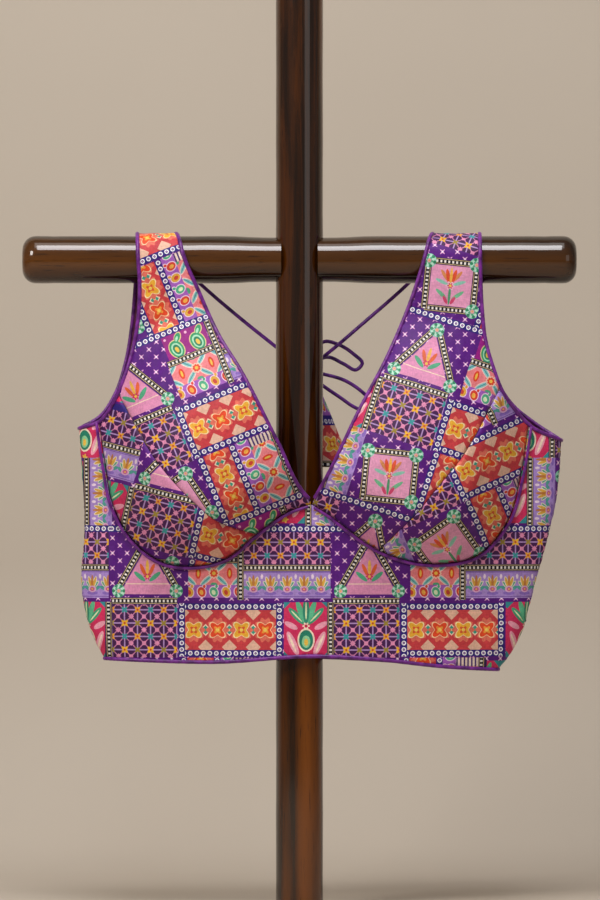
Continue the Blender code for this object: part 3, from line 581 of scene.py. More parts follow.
def lifted(face, turn, height, lift):
    """Points of the cloth moved outwards from its middle by lift."""
    step = 0.0005
    level = np.minimum(height, SHOULDER - step)
    across = on_body(face, turn + step * 4, level) - on_body(face, turn - step * 4, level)
    along = on_body(face, turn, level + step) - on_body(face, turn, level - step)
    normal = np.cross(across, along) * -face.way
    normal /= np.linalg.norm(normal, axis=1)[:, None]
    return on_body(face, turn, height) + normal * np.reshape(lift, (-1, 1))


CUP_FRONT = Face("front", FRONT_FOLDS, True, -1)
FLAT_FRONT = Face("front", FRONT_FOLDS, False, -1)
BACK = Face("back", BACK_FOLDS, False, 1)


def placed(face, line, lift=0.0):
    """A line of x and height laid on a face of the body."""
    return list(lifted(face, turn_of(line[:, 0], line[:, 1]), line[:, 1], lift))


def to_side(line, column):
    """The line, with its last point carried out to the body's left or right side."""
    height = line[-1][1]
    return np.vstack([line, [(float(level_value(column, height)), height)]])


def hem_line(points, inset):
    line = shifted(smooth(points), -inset)
    return to_side(to_side(line[::-1], "left")[::-1], "right")


def side_line(column, low, high):
    """The body's left or right side between two heights."""
    return np.array([(float(level_value(column, h)), h) for h in np.linspace(low, high, 60)])


# ---------------------------------------------------------------- printed cloth
# A light silk blend, screen printed with a patchwork of floral and geometric patches in jewel colours. Each
# patch's print keeps its own real size; the weave is far finer than shows, so it is drawn at 1.2 mm.
WEAVE = 0.0012

Mark = namedtuple("Mark", "shape x y wide high turn colour")


def oval(x, y, wide, high, turn, colour):
    return ("oval", x, y, wide, high, turn, colour)


def pair(x, y, wide, high, turn, colour):
    """An oval and its mirror image across the cell's middle."""
    return [oval(-x, y, wide, high, turn, colour), oval(x, y, wide, high, -turn, colour)]


def each(spots, shape, wide, high, turn, colour):
    """The same mark at several spots."""
    return [(shape, x, y, wide, high, turn, colour) for x, y in spots]


def corners(x, y):
    return [(x, y), (-x, y), (x, -y), (-x, -y)]


def mango(x, skin, seed):
    """A mango with a pale edge and its tip to the right."""
    return [oval(x, -0.8, 8.6, 10.6, 20, "F0D3E4"), oval(x + 2.5, 4.4, 3.8, 4.2, 0, "F0D3E4"),
            oval(x, -0.8, 7.0, 9.0, 20, skin), oval(x + 2.4, 4.2, 2.4, 3.0, 0, skin),
            oval(x - 0.2, -1.2, 3.4, 4.6, 20, seed)]


def bloom(x, edge, petal, middle):
    """An open four-petalled flower on a scalloped ground."""
    return [(10, x, 0, 21, 23, 0, "E4705C"), (4, x, 0, 19, 19, 45, edge), (4, x, 0, 16.6, 16.6, 45, petal),
            (4, x, 0, 8, 8, 45, middle), oval(x, 0, 3.2, 3.2, 0, "F5D060")]


# Each print: its ground, the cell that repeats (wide, high, turn), and its marks from the lowest to the top
# one. A shape is oval, box, or a flower with a number of petals. Millimetres and degrees.
PRINTS = {
    "field": ("560A7C", (9.6, 9.6, 45), [
        oval(0, 0, 1.3, 6.0, 0, "DFA0D2"), oval(0, 0, 6.0, 1.3, 0, "DFA0D2"),
        oval(0, 0, 1.7, 1.7, 0, "F4E3F4")]),
    "mosaic": ("43124E", (24, 24, 0), [
        *each([(0, 0), (-6, 6), (6, -6)], "box", 40, 1.0, 45, "C97AA8"),
        *each([(0, 0), (6, 6), (-6, -6)], "box", 40, 1.0, -45, "C97AA8"),
        *each([(0, 6), (0, -6)], "box", 24, 1.2, 0, "B58FC9"),
        *each([(6, 0), (-6, 0)], "box", 1.2, 24, 0, "B58FC9"),
        *each([(0, 0), *corners(12, 12)], "box", 3.6, 3.6, 45, "E58FB8"),
        *each([(12, 0), (-12, 0), (0, 12), (0, -12)], "box", 3.6, 3.6, 0, "E58FB8"),
        (4, 6, 6, 7.6, 7.6, 45, "EFB42A"), (4, -6, -6, 7.0, 7.0, 45, "E9A227"),
        (4, 6, -6, 6.6, 6.6, 45, "37979C"), (4, -6, 6, 6.2, 6.2, 45, "A08A34"),
        *each([(6, 6), (-6, -6)], "oval", 1.9, 1.9, 0, "C9472F")]),
    "tufts": ("A888CE", (15.2, 25, 0), [
        oval(0, -8.0, 11, 3.4, 0, "8A68BE"), *pair(4.3, -3.6, 3.4, 7.6, 66, "4E9C94"),
        *pair(3.4, -0.6, 3.2, 9.4, 40, "EBDDC2"), *pair(3.4, -0.6, 2.0, 7.8, 40, "5DA58C"),
        *pair(2.2, 1.6, 3.6, 11.4, 17, "EBDDC2"), *pair(2.2, 1.6, 2.3, 9.6, 17, "D9A540"),
        oval(0, 2.4, 2.4, 12.0, 0, "C07A3A"), oval(0, -4.4, 7.6, 6.0, 0, "D9A6C8"),
        oval(0, -4.4, 4.4, 3.6, 0, "C2528E"), oval(0, -4.4, 1.8, 1.6, 0, "EDBE4A"),
        *pair(7.6, 7, 2.4, 4.4, 0, "EBD6E6"), *each([(0, 11), (0, -11)], "box", 15.2, 0.6, 0, "6E489E")]),
    "crimson": ("D42A5E", (40, 62, 0), [
        *each(corners(20, 31), "box", 17, 17, 45, "2F8E96"),
        *pair(12, -12, 6.5, 23, 24, "F2A3B8"), *pair(12.4, -12, 2.2, 18, 24, "F7DCC4"),
        *pair(13.5, 4, 5.0, 13, 62, "F2A3B8"), *pair(8.6, 12.5, 5.6, 20, 44, "3E9E78"),
        *pair(4.8, 16.5, 5.4, 21, 20, "5DB98C"), oval(0, 17.5, 6.0, 23, 0, "2F8A70"),
        *pair(8.6, 12.5, 1.4, 14, 44, "DDE9B8"), oval(0, 17.5, 1.6, 16, 0, "DDE9B8"),
        oval(0, -9, 15.5, 21, 0, "F6E0C8"), oval(0, -9, 12.6, 18, 0, "1F7F66"),
        oval(0, -10.5, 7.6, 11, 0, "8FCF9A"), oval(0, -11, 3.6, 6.4, 0, "EDBE4A"),
        (6, 0, 3.6, 7.0, 7.0, 0, "F6E0C8"), oval(0, 3.6, 3.0, 3.0, 0, "C81F4E"),
        (5, 0, -24.5, 6.5, 6.5, 0, "EDBE4A")]),
    "magenta": ("97107F", (20.5, 26, 0), [
        oval(0, -2.4, 14, 18, 15, "E6C98F"), oval(4.2, 7.4, 6.4, 10.4, -35, "E6C98F"),
        oval(0, -2.4, 12.4, 16.4, 15, "2E9A66"), oval(4.0, 7.4, 5.0, 8.8, -35, "2E9A66"),
        oval(0, -2.6, 9.0, 12.6, 15, "A8E0BC"), oval(3.0, 6.4, 2.2, 5.0, -35, "A8E0BC"),
        oval(0, -2.8, 6.4, 9.6, 15, "1F7F58"), oval(0, -3, 3.2, 5.4, 15, "EDBE4A"),
        oval(-7.6, 9, 2.4, 2.4, 0, "F3B4D6"), oval(8.2, -10, 2.4, 2.4, 0, "F3B4D6")]),
    "pink": ("E59CC0", (42, 44, 0), [
        *pair(7.5, -8, 3.4, 13, 52, "6FB58C"), *pair(8.0, 3, 3.2, 12, 70, "8CC7B4"),
        *pair(6.0, 9, 3.2, 12, 36, "D98A52"), *pair(2.6, 8, 3.6, 14, 14, "E0502E"),
        oval(0, 9, 2.6, 15, 0, "F0B44A"), oval(0, -9, 2.4, 16, 0, "4C9A6E"),
        *pair(3.4, -13, 3.0, 8, 30, "D2426E"), (6, 0, 0, 8.6, 8.6, 0, "F3C9DA"),
        (6, 0, 0, 6.0, 6.0, 0, "CF3A5E"), oval(0, 0, 2.4, 2.4, 0, "F0C54A")]),
    "ribbon": ("2C1B78", (5.9, 60, 0), [
        oval(0, 0, 4.2, 4.2, 0, "F3EFF5"), oval(0, 0, 2.2, 2.2, 0, "2C1B78"),
        oval(0, 0, 0.9, 0.9, 0, "D9A0C9")]),
    "blossom": ("CB3C42", (43, 60, 0), [
        *each([(0, 15.5), (0, -15.5), *corners(21.5, 15.5)], "box", 9.5, 9.5, 45, "E8B9A0"),
        ("box", 0, 0, 7.6, 7.6, 45, "F5D9BC"), ("box", 0, 0, 5.6, 5.6, 45, "2F9A84"),
        *each([(21.5, 0), (-21.5, 0)], "box", 7.6, 7.6, 45, "F5D9BC"),
        *each([(21.5, 0), (-21.5, 0)], "box", 5.6, 5.6, 45, "2F9A84"),
        oval(0, 0, 2.2, 2.2, 0, "E9E0A8"),
        *bloom(-10.75, "F7CFA0", "E8481E", "F29A3A"), *bloom(10.75, "F7E3A8", "F0B032", "E0582A")]),
    "paisley": ("A35CBC", (33.3, 60, 0), [
        *mango(-11.1, "D8402E", "F2B04A"), *mango(0, "4FAE86", "D9EBC0"), *mango(11.1, "E2A93A", "C9402E")]),
    "leaf": ("EE8389", (28.3, 60, 0), [
        *[leaf for wide, high, colour in ((5.0, 15, "F6D3C6"), (3.4, 13, "86C3C4"), (0.9, 11, "3F8E92"))
          for up in (1, -1) for leaf in pair(6.8, 6.2 * up, wide, high, 48 * up, colour)],
        (8, 0, 0, 10, 10, 0, "F5C9B0"), (8, 0, 0, 7.6, 7.6, 0, "DE4424"), oval(0, 0, 3.2, 3.2, 0, "EDBE4A"),
        *pair(14.15, 0, 5, 10, 0, "DE4424"), *pair(14.15, 0, 2, 6, 0, "EDBE4A"),
        *each([(0, 10), (0, -10)], "oval", 6, 3.6, 0, "4FA57E")]),
    "ladder": ("120D1A", (3.6, 60, 0), [
        ("box", 0, 0, 1.7, 2.3, 0, "EFE8E2"), *each([(0, 2.15), (0, -2.15)], "box", 3.7, 0.5, 0, "D8BE8C"),
        *each([(0, 3.25), (0, -3.25)], "box", 3.7, 0.7, 0, "4A2A6E")]),
    "comb": ("E6CFC0", (3.4, 60, 0), [("box", 0, 0, 1.5, 60, 0, "4A2A6E")]),
    "rosette": ("8FCFB8", (60, 60, 0), [
        (6, 0, 0, 14, 14, 0, "2F8A62"), (6, 0, 0, 11.5, 11.5, 30, "BFE6D2"), (5, 0, 0, 8, 8, 0, "56AE88"),
        oval(0, 0, 3.6, 3.6, 0, "E8A0B4"), oval(0, 0, 1.6, 1.6, 0, "EDBE4A")]),
    "spike": ("DE8FB6", (60, 60, 0), [
        *pair(7, -6, 4, 13, 50, "4FA57E"), *pair(4, 0, 3.4, 12, 24, "E0602E"),
        oval(0, 2, 3.0, 14, 0, "EDB44A"), (6, 0, -6, 7, 7, 0, "CF2A5C"), oval(0, -6, 2.6, 2.6, 0, "F0C54A"),
        ("box", 0, -12.6, 60, 0.8, 0, "F4D9BE")]),
}


def marked(material, spot, ground, mark):
    """Where a mark lies over the ground, its colour; elsewhere the ground's."""
    local = node(material, "ShaderNodeMapping", {"Vector": spot, "Location": (mark.x, mark.y, 0),
                                                 "Rotation": (0, 0, math.radians(mark.turn)),
                                                 "Scale": (mark.wide / 2, mark.high / 2, 1)},
                 vector_type="TEXTURE").outputs[0]
    if mark.shape == "box":
        whole = node(material, "ShaderNodeVectorMath", {0: local}, operation="ABSOLUTE").outputs[0]
        parts = node(material, "ShaderNodeSeparateXYZ", {0: whole}).outputs
        reach = node(material, "ShaderNodeMath", {0: parts[0], 1: parts[1]}, operation="MAXIMUM").outputs[0]
    else:
        reach = node(material, "ShaderNodeVectorMath", {0: local}, operation="LENGTH").outputs["Value"]
    limit = 1.0
    if isinstance(mark.shape, int):
        parts = node(material, "ShaderNodeSeparateXYZ", {0: local}).outputs
        angle = node(material, "ShaderNodeMath", {0: parts[1], 1: parts[0]}, operation="ARCTAN2").outputs[0]
        petals = node(material, "ShaderNodeMath", {0: angle, 1: float(mark.shape)},
                      operation="MULTIPLY").outputs[0]
        swing = node(material, "ShaderNodeMath", {0: petals}, operation="COSINE").outputs[0]
        depth = 0.10 if mark.shape > 7 else 0.24
        limit = node(material, "ShaderNodeMath", {0: swing, 1: depth, 2: 1 - depth},
                     operation="MULTIPLY_ADD").outputs[0]
    within = node(material, "ShaderNodeMath", {0: reach, 1: limit}, operation="LESS_THAN").outputs[0]
    return node(material, "ShaderNodeMix", {0: within, 6: ground, 7: linear(mark.colour)},
                data_type="RGBA").outputs[2]


def cloth_finish(material, shader, colour):
    """Silk blend's soft sheen, a fine crossed weave and slightly uneven ink over a colour socket."""
    place = node(material, "ShaderNodeTexCoord").outputs["Object"]
    heights = []
    for squeeze in ((0.35, 1, 1), (1, 0.35, 0.35)):
        thread = node(material, "ShaderNodeMapping", {"Vector": place, "Scale": [s / WEAVE for s in squeeze]})
        heights.append(node(material, "ShaderNodeTexNoise", {"Vector": thread.outputs[0], "Scale": 1.0,
                                                             "Detail": 2.0}).outputs["Fac"])
    weave = node(material, "ShaderNodeMath", {0: heights[0], 1: heights[1]}, operation="ADD").outputs[0]
    soft = node(material, "ShaderNodeTexNoise", {"Vector": place, "Scale": 55.0,
                                                 "Detail": 3.0}).outputs["Fac"]
    tone = node(material, "ShaderNodeMapRange", {0: soft, 1: 0.25, 2: 0.75, 3: 0.86, 4: 1.08}).outputs[0]
    fleck = node(material, "ShaderNodeMapRange", {0: weave, 1: 0.7, 2: 1.3, 3: 0.84, 4: 1.12}).outputs[0]
    both = node(material, "ShaderNodeMath", {0: tone, 1: fleck}, operation="MULTIPLY").outputs[0]
    inked = node(material, "ShaderNodeVectorMath", {0: colour, "Scale": both}, operation="SCALE").outputs[0]
    bump = node(material, "ShaderNodeBump", {"Strength": 0.30, "Distance": 0.0003,
                                             "Height": weave}).outputs[0]
    rough = node(material, "ShaderNodeMapRange", {0: soft, 3: 0.48, 4: 0.62}).outputs[0]
    plug(material, shader, {"Base Color": inked, "Normal": bump, "Roughness": rough, "Sheen Weight": 0.04,
                            "Sheen Roughness": 0.45, "Specular IOR Level": 0.32})


def printed(name, ground, cell, marks):
    """Screen print in millimetres of the cloth's own UV map: marks that repeat in a turned cell."""
    material, shader = new_material(name)
    wide, high, turn = cell
    cloth = node(material, "ShaderNodeUVMap", uv_map="cloth").outputs["UV"]
    turned = node(material, "ShaderNodeMapping", {"Vector": cloth, "Rotation": (0, 0, math.radians(turn))})
    cells = node(material, "ShaderNodeVectorMath", {0: turned.outputs[0], 1: (1 / wide, 1 / high, 0),
                                                    2: (0.5, 0.5, 0)}, operation="MULTIPLY_ADD").outputs[0]
    inside = node(material, "ShaderNodeVectorMath", {0: cells}, operation="FRACTION").outputs[0]
    spot = node(material, "ShaderNodeVectorMath", {0: inside, 1: (wide, high, 0),
                                                   2: (-wide / 2, -high / 2, 0)},
                operation="MULTIPLY_ADD").outputs[0]
    colour = linear(ground)
    for mark in marks:
        colour = marked(material, spot, colour, Mark(*mark))
    cloth_finish(material, shader, colour)
    return material


KINDS = list(PRINTS)
print_materials = [printed(f"printed_silk_{kind}", *PRINTS[kind]) for kind in KINDS]
lining, lining_shader = new_material("cotton_lining")
lining_place = node(lining, "ShaderNodeTexCoord").outputs["Object"]
lining_noise = node(lining, "ShaderNodeTexNoise", {"Vector": lining_place, "Scale": 300.0})
lining_tone = node(lining, "ShaderNodeMix", {0: lining_noise.outputs["Fac"], 6: linear("5A1F45"),
                                             7: linear("7A3560")}, data_type="RGBA")
cloth_finish(lining, lining_shader, lining_tone.outputs[2])


# ---------------------------------------------------------------- blouse panels
# Each panel is cut to its outline, with its patches' edges drawn in, and is laid on the form.
# The neck is eased into its binding, which leaves small puckers; every seam turns down at the panel's edge.
FILL = 0.0026                # between the points of a panel
Tile = namedtuple("Tile", "kind x height wide high turn")   # millimetres and degrees
PUCKER = 0.00055
PUCKER_LONG = 0.0085
PUCKER_REACH = 0.0080
TURN_DOWN = 0.0009
TURN_REACH = 0.0016
CRUSH = 0.00010              # the cloth's slight unevenness over its backing

TURNS = np.linspace(-math.pi / 2, math.pi / 2, 721)
MID_TURNS = TURNS[1:] - 0.00218
ROLL = np.cumsum(np.r_[0, np.hypot(np.cos(MID_TURNS), SIDE_DEPTH * np.sin(MID_TURNS)) * np.diff(TURNS)])
ROLL -= ROLL[-1] / 2


def to_cloth(line):
    """Places given by x and height as places in the flat cloth."""
    left, right = level_value("left", line[:, 1]), level_value("right", line[:, 1])
    roll = np.interp(turn_of(line[:, 0], line[:, 1]), TURNS, ROLL)
    return np.column_stack([(left + right) / 2 + (right - left) / 2 * roll, line[:, 1]])


def to_turns(spots):
    left, right = level_value("left", spots[:, 1]), level_value("right", spots[:, 1])
    return np.interp((spots[:, 0] - (left + right) / 2) / ((right - left) / 2), ROLL, TURNS)


def inside(spots, outline):
    """Which of the spots lie inside a closed outline."""
    found = np.zeros(len(spots), bool)
    x, y = spots.T
    for (ax, ay), (bx, by) in zip(outline, np.roll(outline, -1, axis=0)):
        if ay != by:
            found ^= ((ay > y) != (by > y)) & (x < ax + (y - ay) * (bx - ax) / (by - ay))
    return found


def divided(outline, step):
    """A closed outline with points at most a step apart."""
    spots = []
    for a, b in zip(outline, np.roll(outline, -1, axis=0)):
        parts = max(1, math.ceil(np.linalg.norm(b - a) / step))
        spots += [a + (b - a) * k / parts for k in range(parts)]
    return np.array(spots)


def tile_outline(tile):
    if tile.kind == "rosette":
        angles = np.linspace(0, 2 * math.pi, 18, endpoint=False)
        shape = np.column_stack([np.cos(angles), np.sin(angles)]) / 2
    elif tile.kind == "spike":
        shape = np.array([(-0.5, -0.5), (0.5, -0.5), (0, 0.5)])
    else:
        shape = np.array([(-0.5, -0.5), (0.5, -0.5), (0.5, 0.5), (-0.5, 0.5)])
    shape = shape * (tile.wide, tile.high)
    cos, sin = math.cos(math.radians(tile.turn)), math.sin(math.radians(tile.turn))
    return (shape @ np.array([(cos, sin), (-sin, cos)]) + (tile.x, tile.height)) / 1000


def cut_panel(cad_node, face, outline, gathers, creases):
    """Cuts a panel out of the patchwork, lays it on the form and gives it its wall."""
    name = f"{cad_node}_print"
    outline = np.asarray(outline)
    patches = [(tile, tile_outline(tile)) for tile in laid(cad_node)]
    patches = [(tile, shape) for tile, shape in patches if (shape.max(axis=0) > outline.min(axis=0)).all()
               and (shape.min(axis=0) < outline.max(axis=0)).all()]
    shapes = [(tile, to_cloth(divided(shape, FILL * 1.5))) for tile, shape in patches]
    outline = to_cloth(outline)
    keep = np.linalg.norm(outline - np.roll(outline, 1, axis=0), axis=1) > 0.0002
    outline = divided(outline[keep], FILL)
    low, high = outline.min(axis=0), outline.max(axis=0)
    spots, edges = [], []
    for shape in [outline] + [s for _, s in shapes]:
        first = len(spots)
        spots += [Vector(p) for p in shape]
        edges += [(first + k, first + (k + 1) % len(shape)) for k in range(len(shape))]
    near = kdtree.KDTree(len(spots))
    for k, spot in enumerate(spots):
        near.insert((*spot, 0), k)
    near.balance()
    fill = np.array([(across, up) for r, up in enumerate(np.arange(low[1], high[1], FILL * 0.87))
                     for across in np.arange(low[0] + (r % 2) * FILL / 2, high[0], FILL)])
    fill = fill[inside(fill, outline)]
    spots += [Vector(p) for p in fill if near.find((*p, 0))[2] > FILL * 0.45]
    spots, _, faces = delaunay_2d_cdt(spots, edges, [], 0, 1e-6)[:3]
    spots, faces = np.array([tuple(s) for s in spots]), np.array([tuple(f) for f in faces])
    middles = spots[faces].mean(axis=1)
    faces, middles = faces[inside(middles, outline)], middles[inside(middles, outline)]
    used_spots = np.unique(faces)
    renumber = np.zeros(len(spots), int)
    renumber[used_spots] = np.arange(len(used_spots))
    spots, faces = spots[used_spots], renumber[faces]
    corners = spots[faces]
    way = ((corners[:, 1, 0] - corners[:, 0, 0]) * (corners[:, 2, 1] - corners[:, 0, 1])
           - (corners[:, 1, 1] - corners[:, 0, 1]) * (corners[:, 2, 0] - corners[:, 0, 0]))
    wrong = way * -face.way < 0
    faces[wrong] = faces[wrong][:, ::-1]
    corners = spots[faces]

    kinds = np.zeros(len(faces), int)
    uvs = corners * 1000
    for tile, shape in shapes:
        held = inside(middles, shape)
        cos, sin = math.cos(math.radians(tile.turn)), math.sin(math.radians(tile.turn))
        origin = to_cloth(np.array([(tile.x / 1000, tile.height / 1000)]))[0]
        kinds[held] = KINDS.index(tile.kind)
        uvs[held] = (corners[held] - origin) * 1000 @ np.array([(cos, -sin), (sin, cos)])

    x, height = on_body(face, to_turns(spots), spots[:, 1])[:, 0], spots[:, 1]
    lift = np.full(len(spots), PRINT_LIFT) + fold_depth(creases, x, height)
    edge = np.min(np.linalg.norm(spots[:, None] - outline[None], axis=2), axis=1)
    lift -= TURN_DOWN * np.exp(-(edge / TURN_REACH) ** 2)
    for across, along, phase in ((410, 230, 0.3), (-270, 390, 1.9), (620, -170, 4.0), (150, 690, 2.6)):
        lift += CRUSH * np.sin(across * spots[:, 0] + along * spots[:, 1] + phase
                               + 1.7 * np.sin(97 * spots[:, 1] + 61 * spots[:, 0] + phase))
    for line in gathers:
        line = to_cloth(line)
        gaps = np.linalg.norm(spots[:, None] - line[None], axis=2)
        run = distances(line)[np.argmin(gaps, axis=1)]
        waves = np.sin(run * 2 * math.pi / PUCKER_LONG + 1.5 * np.sin(run * 90))
        lift += PUCKER * waves * np.exp(-(gaps.min(axis=1) / PUCKER_REACH) ** 2)
    points = lifted(face, to_turns(spots), height, lift)
    first, second, third = (points[faces[:, k]] for k in range(3))
    piece = new_piece(name, points, [tuple(int(v) for v in f) for f in faces], print_materials + [lining],
                      uvs.reshape(-1, 2), kinds)
    wall = piece.modifiers.new("lining", "SOLIDIFY")
    wall.thickness = LINING
    wall.offset = -1
    wall.material_offset = len(KINDS)
    wall.material_offset_rim = 0
    put(piece, "printed_cloth", cad_node)


# One repeat of the patchwork, in millimetres from its lower left corner, from the lowest patch to the top
# one. Between its patches lies the field print.
REPEAT_WIDE, REPEAT_HIGH = 200, 180
REPEAT = [Tile(*row) for row in (
    # kind        x  height wide high turn
    # lower course: lattice, blossom strip, bud
    ("mosaic", 30, 25, 60, 50, 0), ("blossom", 107, 25, 86, 38, 0), ("crimson", 176, 25, 40, 50, 0),
    ("ribbon", 107, 46, 92, 6, 0), ("ribbon", 107, 4, 92, 6, 0), ("ribbon", 64, 25, 48, 6, 90),
    ("ribbon", 152, 25, 48, 6, 90), ("ladder", 30, 51, 60, 6.5, 0), ("ladder", 198, 25, 50, 6.5, 90),
    # middle course: spike, pair of mangoes over leaves, tufts over lattice
    ("spike", 33, 79, 50, 44, 0), ("ladder", 17, 81, 50, 6.5, 60), ("ladder", 49, 81, 50, 6.5, -60),
    ("rosette", 33, 105, 13, 13, 0), ("rosette", 7, 60, 12, 12, 0), ("rosette", 59, 60, 12, 12, 0),
    ("paisley", 93, 60, 46, 12, 0), ("leaf", 93, 76, 46, 21, 0), ("magenta", 83, 101, 20.5, 26, 0),
    ("magenta", 103, 101, 20.5, 26, 0), ("ladder", 93, 88, 46, 6.5, 0), ("ladder", 117, 84, 64, 6.5, 90),
    ("tufts", 159, 66, 78, 25, 0), ("mosaic", 159, 98, 78, 32, 0), ("ladder", 159, 81, 78, 6.5, 0),
    # upper course: framed flower, blossom and mango strips, bud, tufts
    ("pink", 32, 147, 40, 40, 12), ("ladder", 28, 168, 44, 6.5, 12), ("ladder", 37, 126, 44, 6.5, 12),
    ("ladder", 11, 142, 44, 6.5, 102), ("ladder", 54, 151, 44, 6.5, 102), ("rosette", 7, 163, 13, 13, 0),
    ("rosette", 49, 172, 13, 13, 0), ("rosette", 58, 131, 13, 13, 0),
    ("blossom", 81, 148, 64, 26, 90), ("ribbon", 66, 148, 64, 6, 90), ("ribbon", 96, 148, 64, 6, 90),
    ("paisley", 105, 148, 64, 12, 90), ("leaf", 122, 144, 56, 22, 90), ("comb", 122, 176, 22, 8, 0),
    ("ladder", 135, 148, 64, 6.5, 90), ("crimson", 157, 149, 36, 56, 0), ("ladder", 178, 148, 64, 6.5, 90),
    ("tufts", 191, 148, 64, 20, 90), ("ribbon", 100, 116, 200, 6, 0))]
# Where the repeat's corner lands on each panel, and how far the cloth is turned there, as the cutter laid it.
LAYS = {"cup_upper_left": (-150, 380, 22), "cup_upper_right": (60, 430, -18),
        "cup_lower_left": (-160, 330, -14), "cup_lower_right": (90, 340, 24),
        "back_left": (-190, 235, 4), "back_right": (30, 210, -4), "front_band": (-170, 225, 0)}


def laid(panel):
    """The patches over a panel: the repeat, turned, three times to each side of where it lands."""
    x, height, turn = LAYS[panel]
    cos, sin = math.cos(math.radians(turn)), math.sin(math.radians(turn))
    patches = []
    for tile in REPEAT:
        for column in range(-3, 3):
            for row in range(-3, 3):
                across, up = tile.x + column * REPEAT_WIDE, tile.height + row * REPEAT_HIGH
                patches.append(tile._replace(x=x + across * cos - up * sin,
                                             height=height + across * sin + up * cos,
                                             turn=tile.turn + turn))
    return patches


# The creases that wearing and hanging leave: a ridge stands out, a trough sinks in.
CUP_CREASES = [Fold(*row) for row in (
    #     x   height  across   along   lean    depth
    (-0.1420, 0.3850, 0.0050, 0.0300, -0.55, -0.0010),
    (-0.1280, 0.3600, 0.0045, 0.0260, -0.70, -0.0012),
    (-0.1120, 0.3400, 0.0040, 0.0220, -0.90, -0.0010),
    (-0.0560, 0.3480, 0.0050, 0.0180, 0.90, -0.0008),
    (0.1620, 0.3800, 0.0050, 0.0300, 0.50, -0.0010),
    (0.1480, 0.3520, 0.0045, 0.0240, 0.70, -0.0012),
    (0.0850, 0.3450, 0.0050, 0.0220, -0.80, -0.0009),
    (-0.1200, 0.5400, 0.0040, 0.0240, 0.20, -0.0008),
    (0.1350, 0.5350, 0.0040, 0.0260, -0.15, -0.0008),
    (-0.0980, 0.4700, 0.0060, 0.0300, 0.60, 0.0009),
    (0.1050, 0.4700, 0.0060, 0.0300, -0.50, 0.0009))]
BAND_CREASES = [Fold(*row) for row in (
    (-0.1640, 0.3050, 0.0040, 0.0350, 0.10, -0.0013),
    (-0.1500, 0.2700, 0.0045, 0.0280, 0.35, -0.0012),
    (-0.1250, 0.2850, 0.0040, 0.0180, 0.90, -0.0010),
    (-0.0700, 0.2700, 0.0050, 0.0300, 0.30, -0.0009),
    (-0.0180, 0.2800, 0.0045, 0.0320, 0.05, -0.0012),
    (0.0060, 0.3000, 0.0040, 0.0350, 0.02, 0.0008),
    (0.0360, 0.2650, 0.0045, 0.0260, -0.20, -0.0010),
    (0.0900, 0.2750, 0.0050, 0.0240, -0.15, -0.0009),
    (0.1450, 0.2750, 0.0045, 0.0300, -0.40, -0.0012),
    (0.1760, 0.2900, 0.0045, 0.0380, -0.15, -0.0013),
    (0.1900, 0.3300, 0.0040, 0.0350, 0.05, -0.0010))]
BACK_CREASES = [Fold(*row) for row in (
    (-0.1500, 0.3500, 0.0060, 0.0450, 0.50, -0.0012),
    (-0.1050, 0.3300, 0.0060, 0.0500, 0.30, 0.0012),
    (-0.0500, 0.3100, 0.0050, 0.0450, 0.10, -0.0012),
    (0.0500, 0.3100, 0.0050, 0.0450, -0.10, -0.0012),
    (0.1150, 0.3350, 0.0060, 0.0500, -0.30, 0.0012),
    (0.1650, 0.3500, 0.0060, 0.0450, -0.50, -0.0012))]

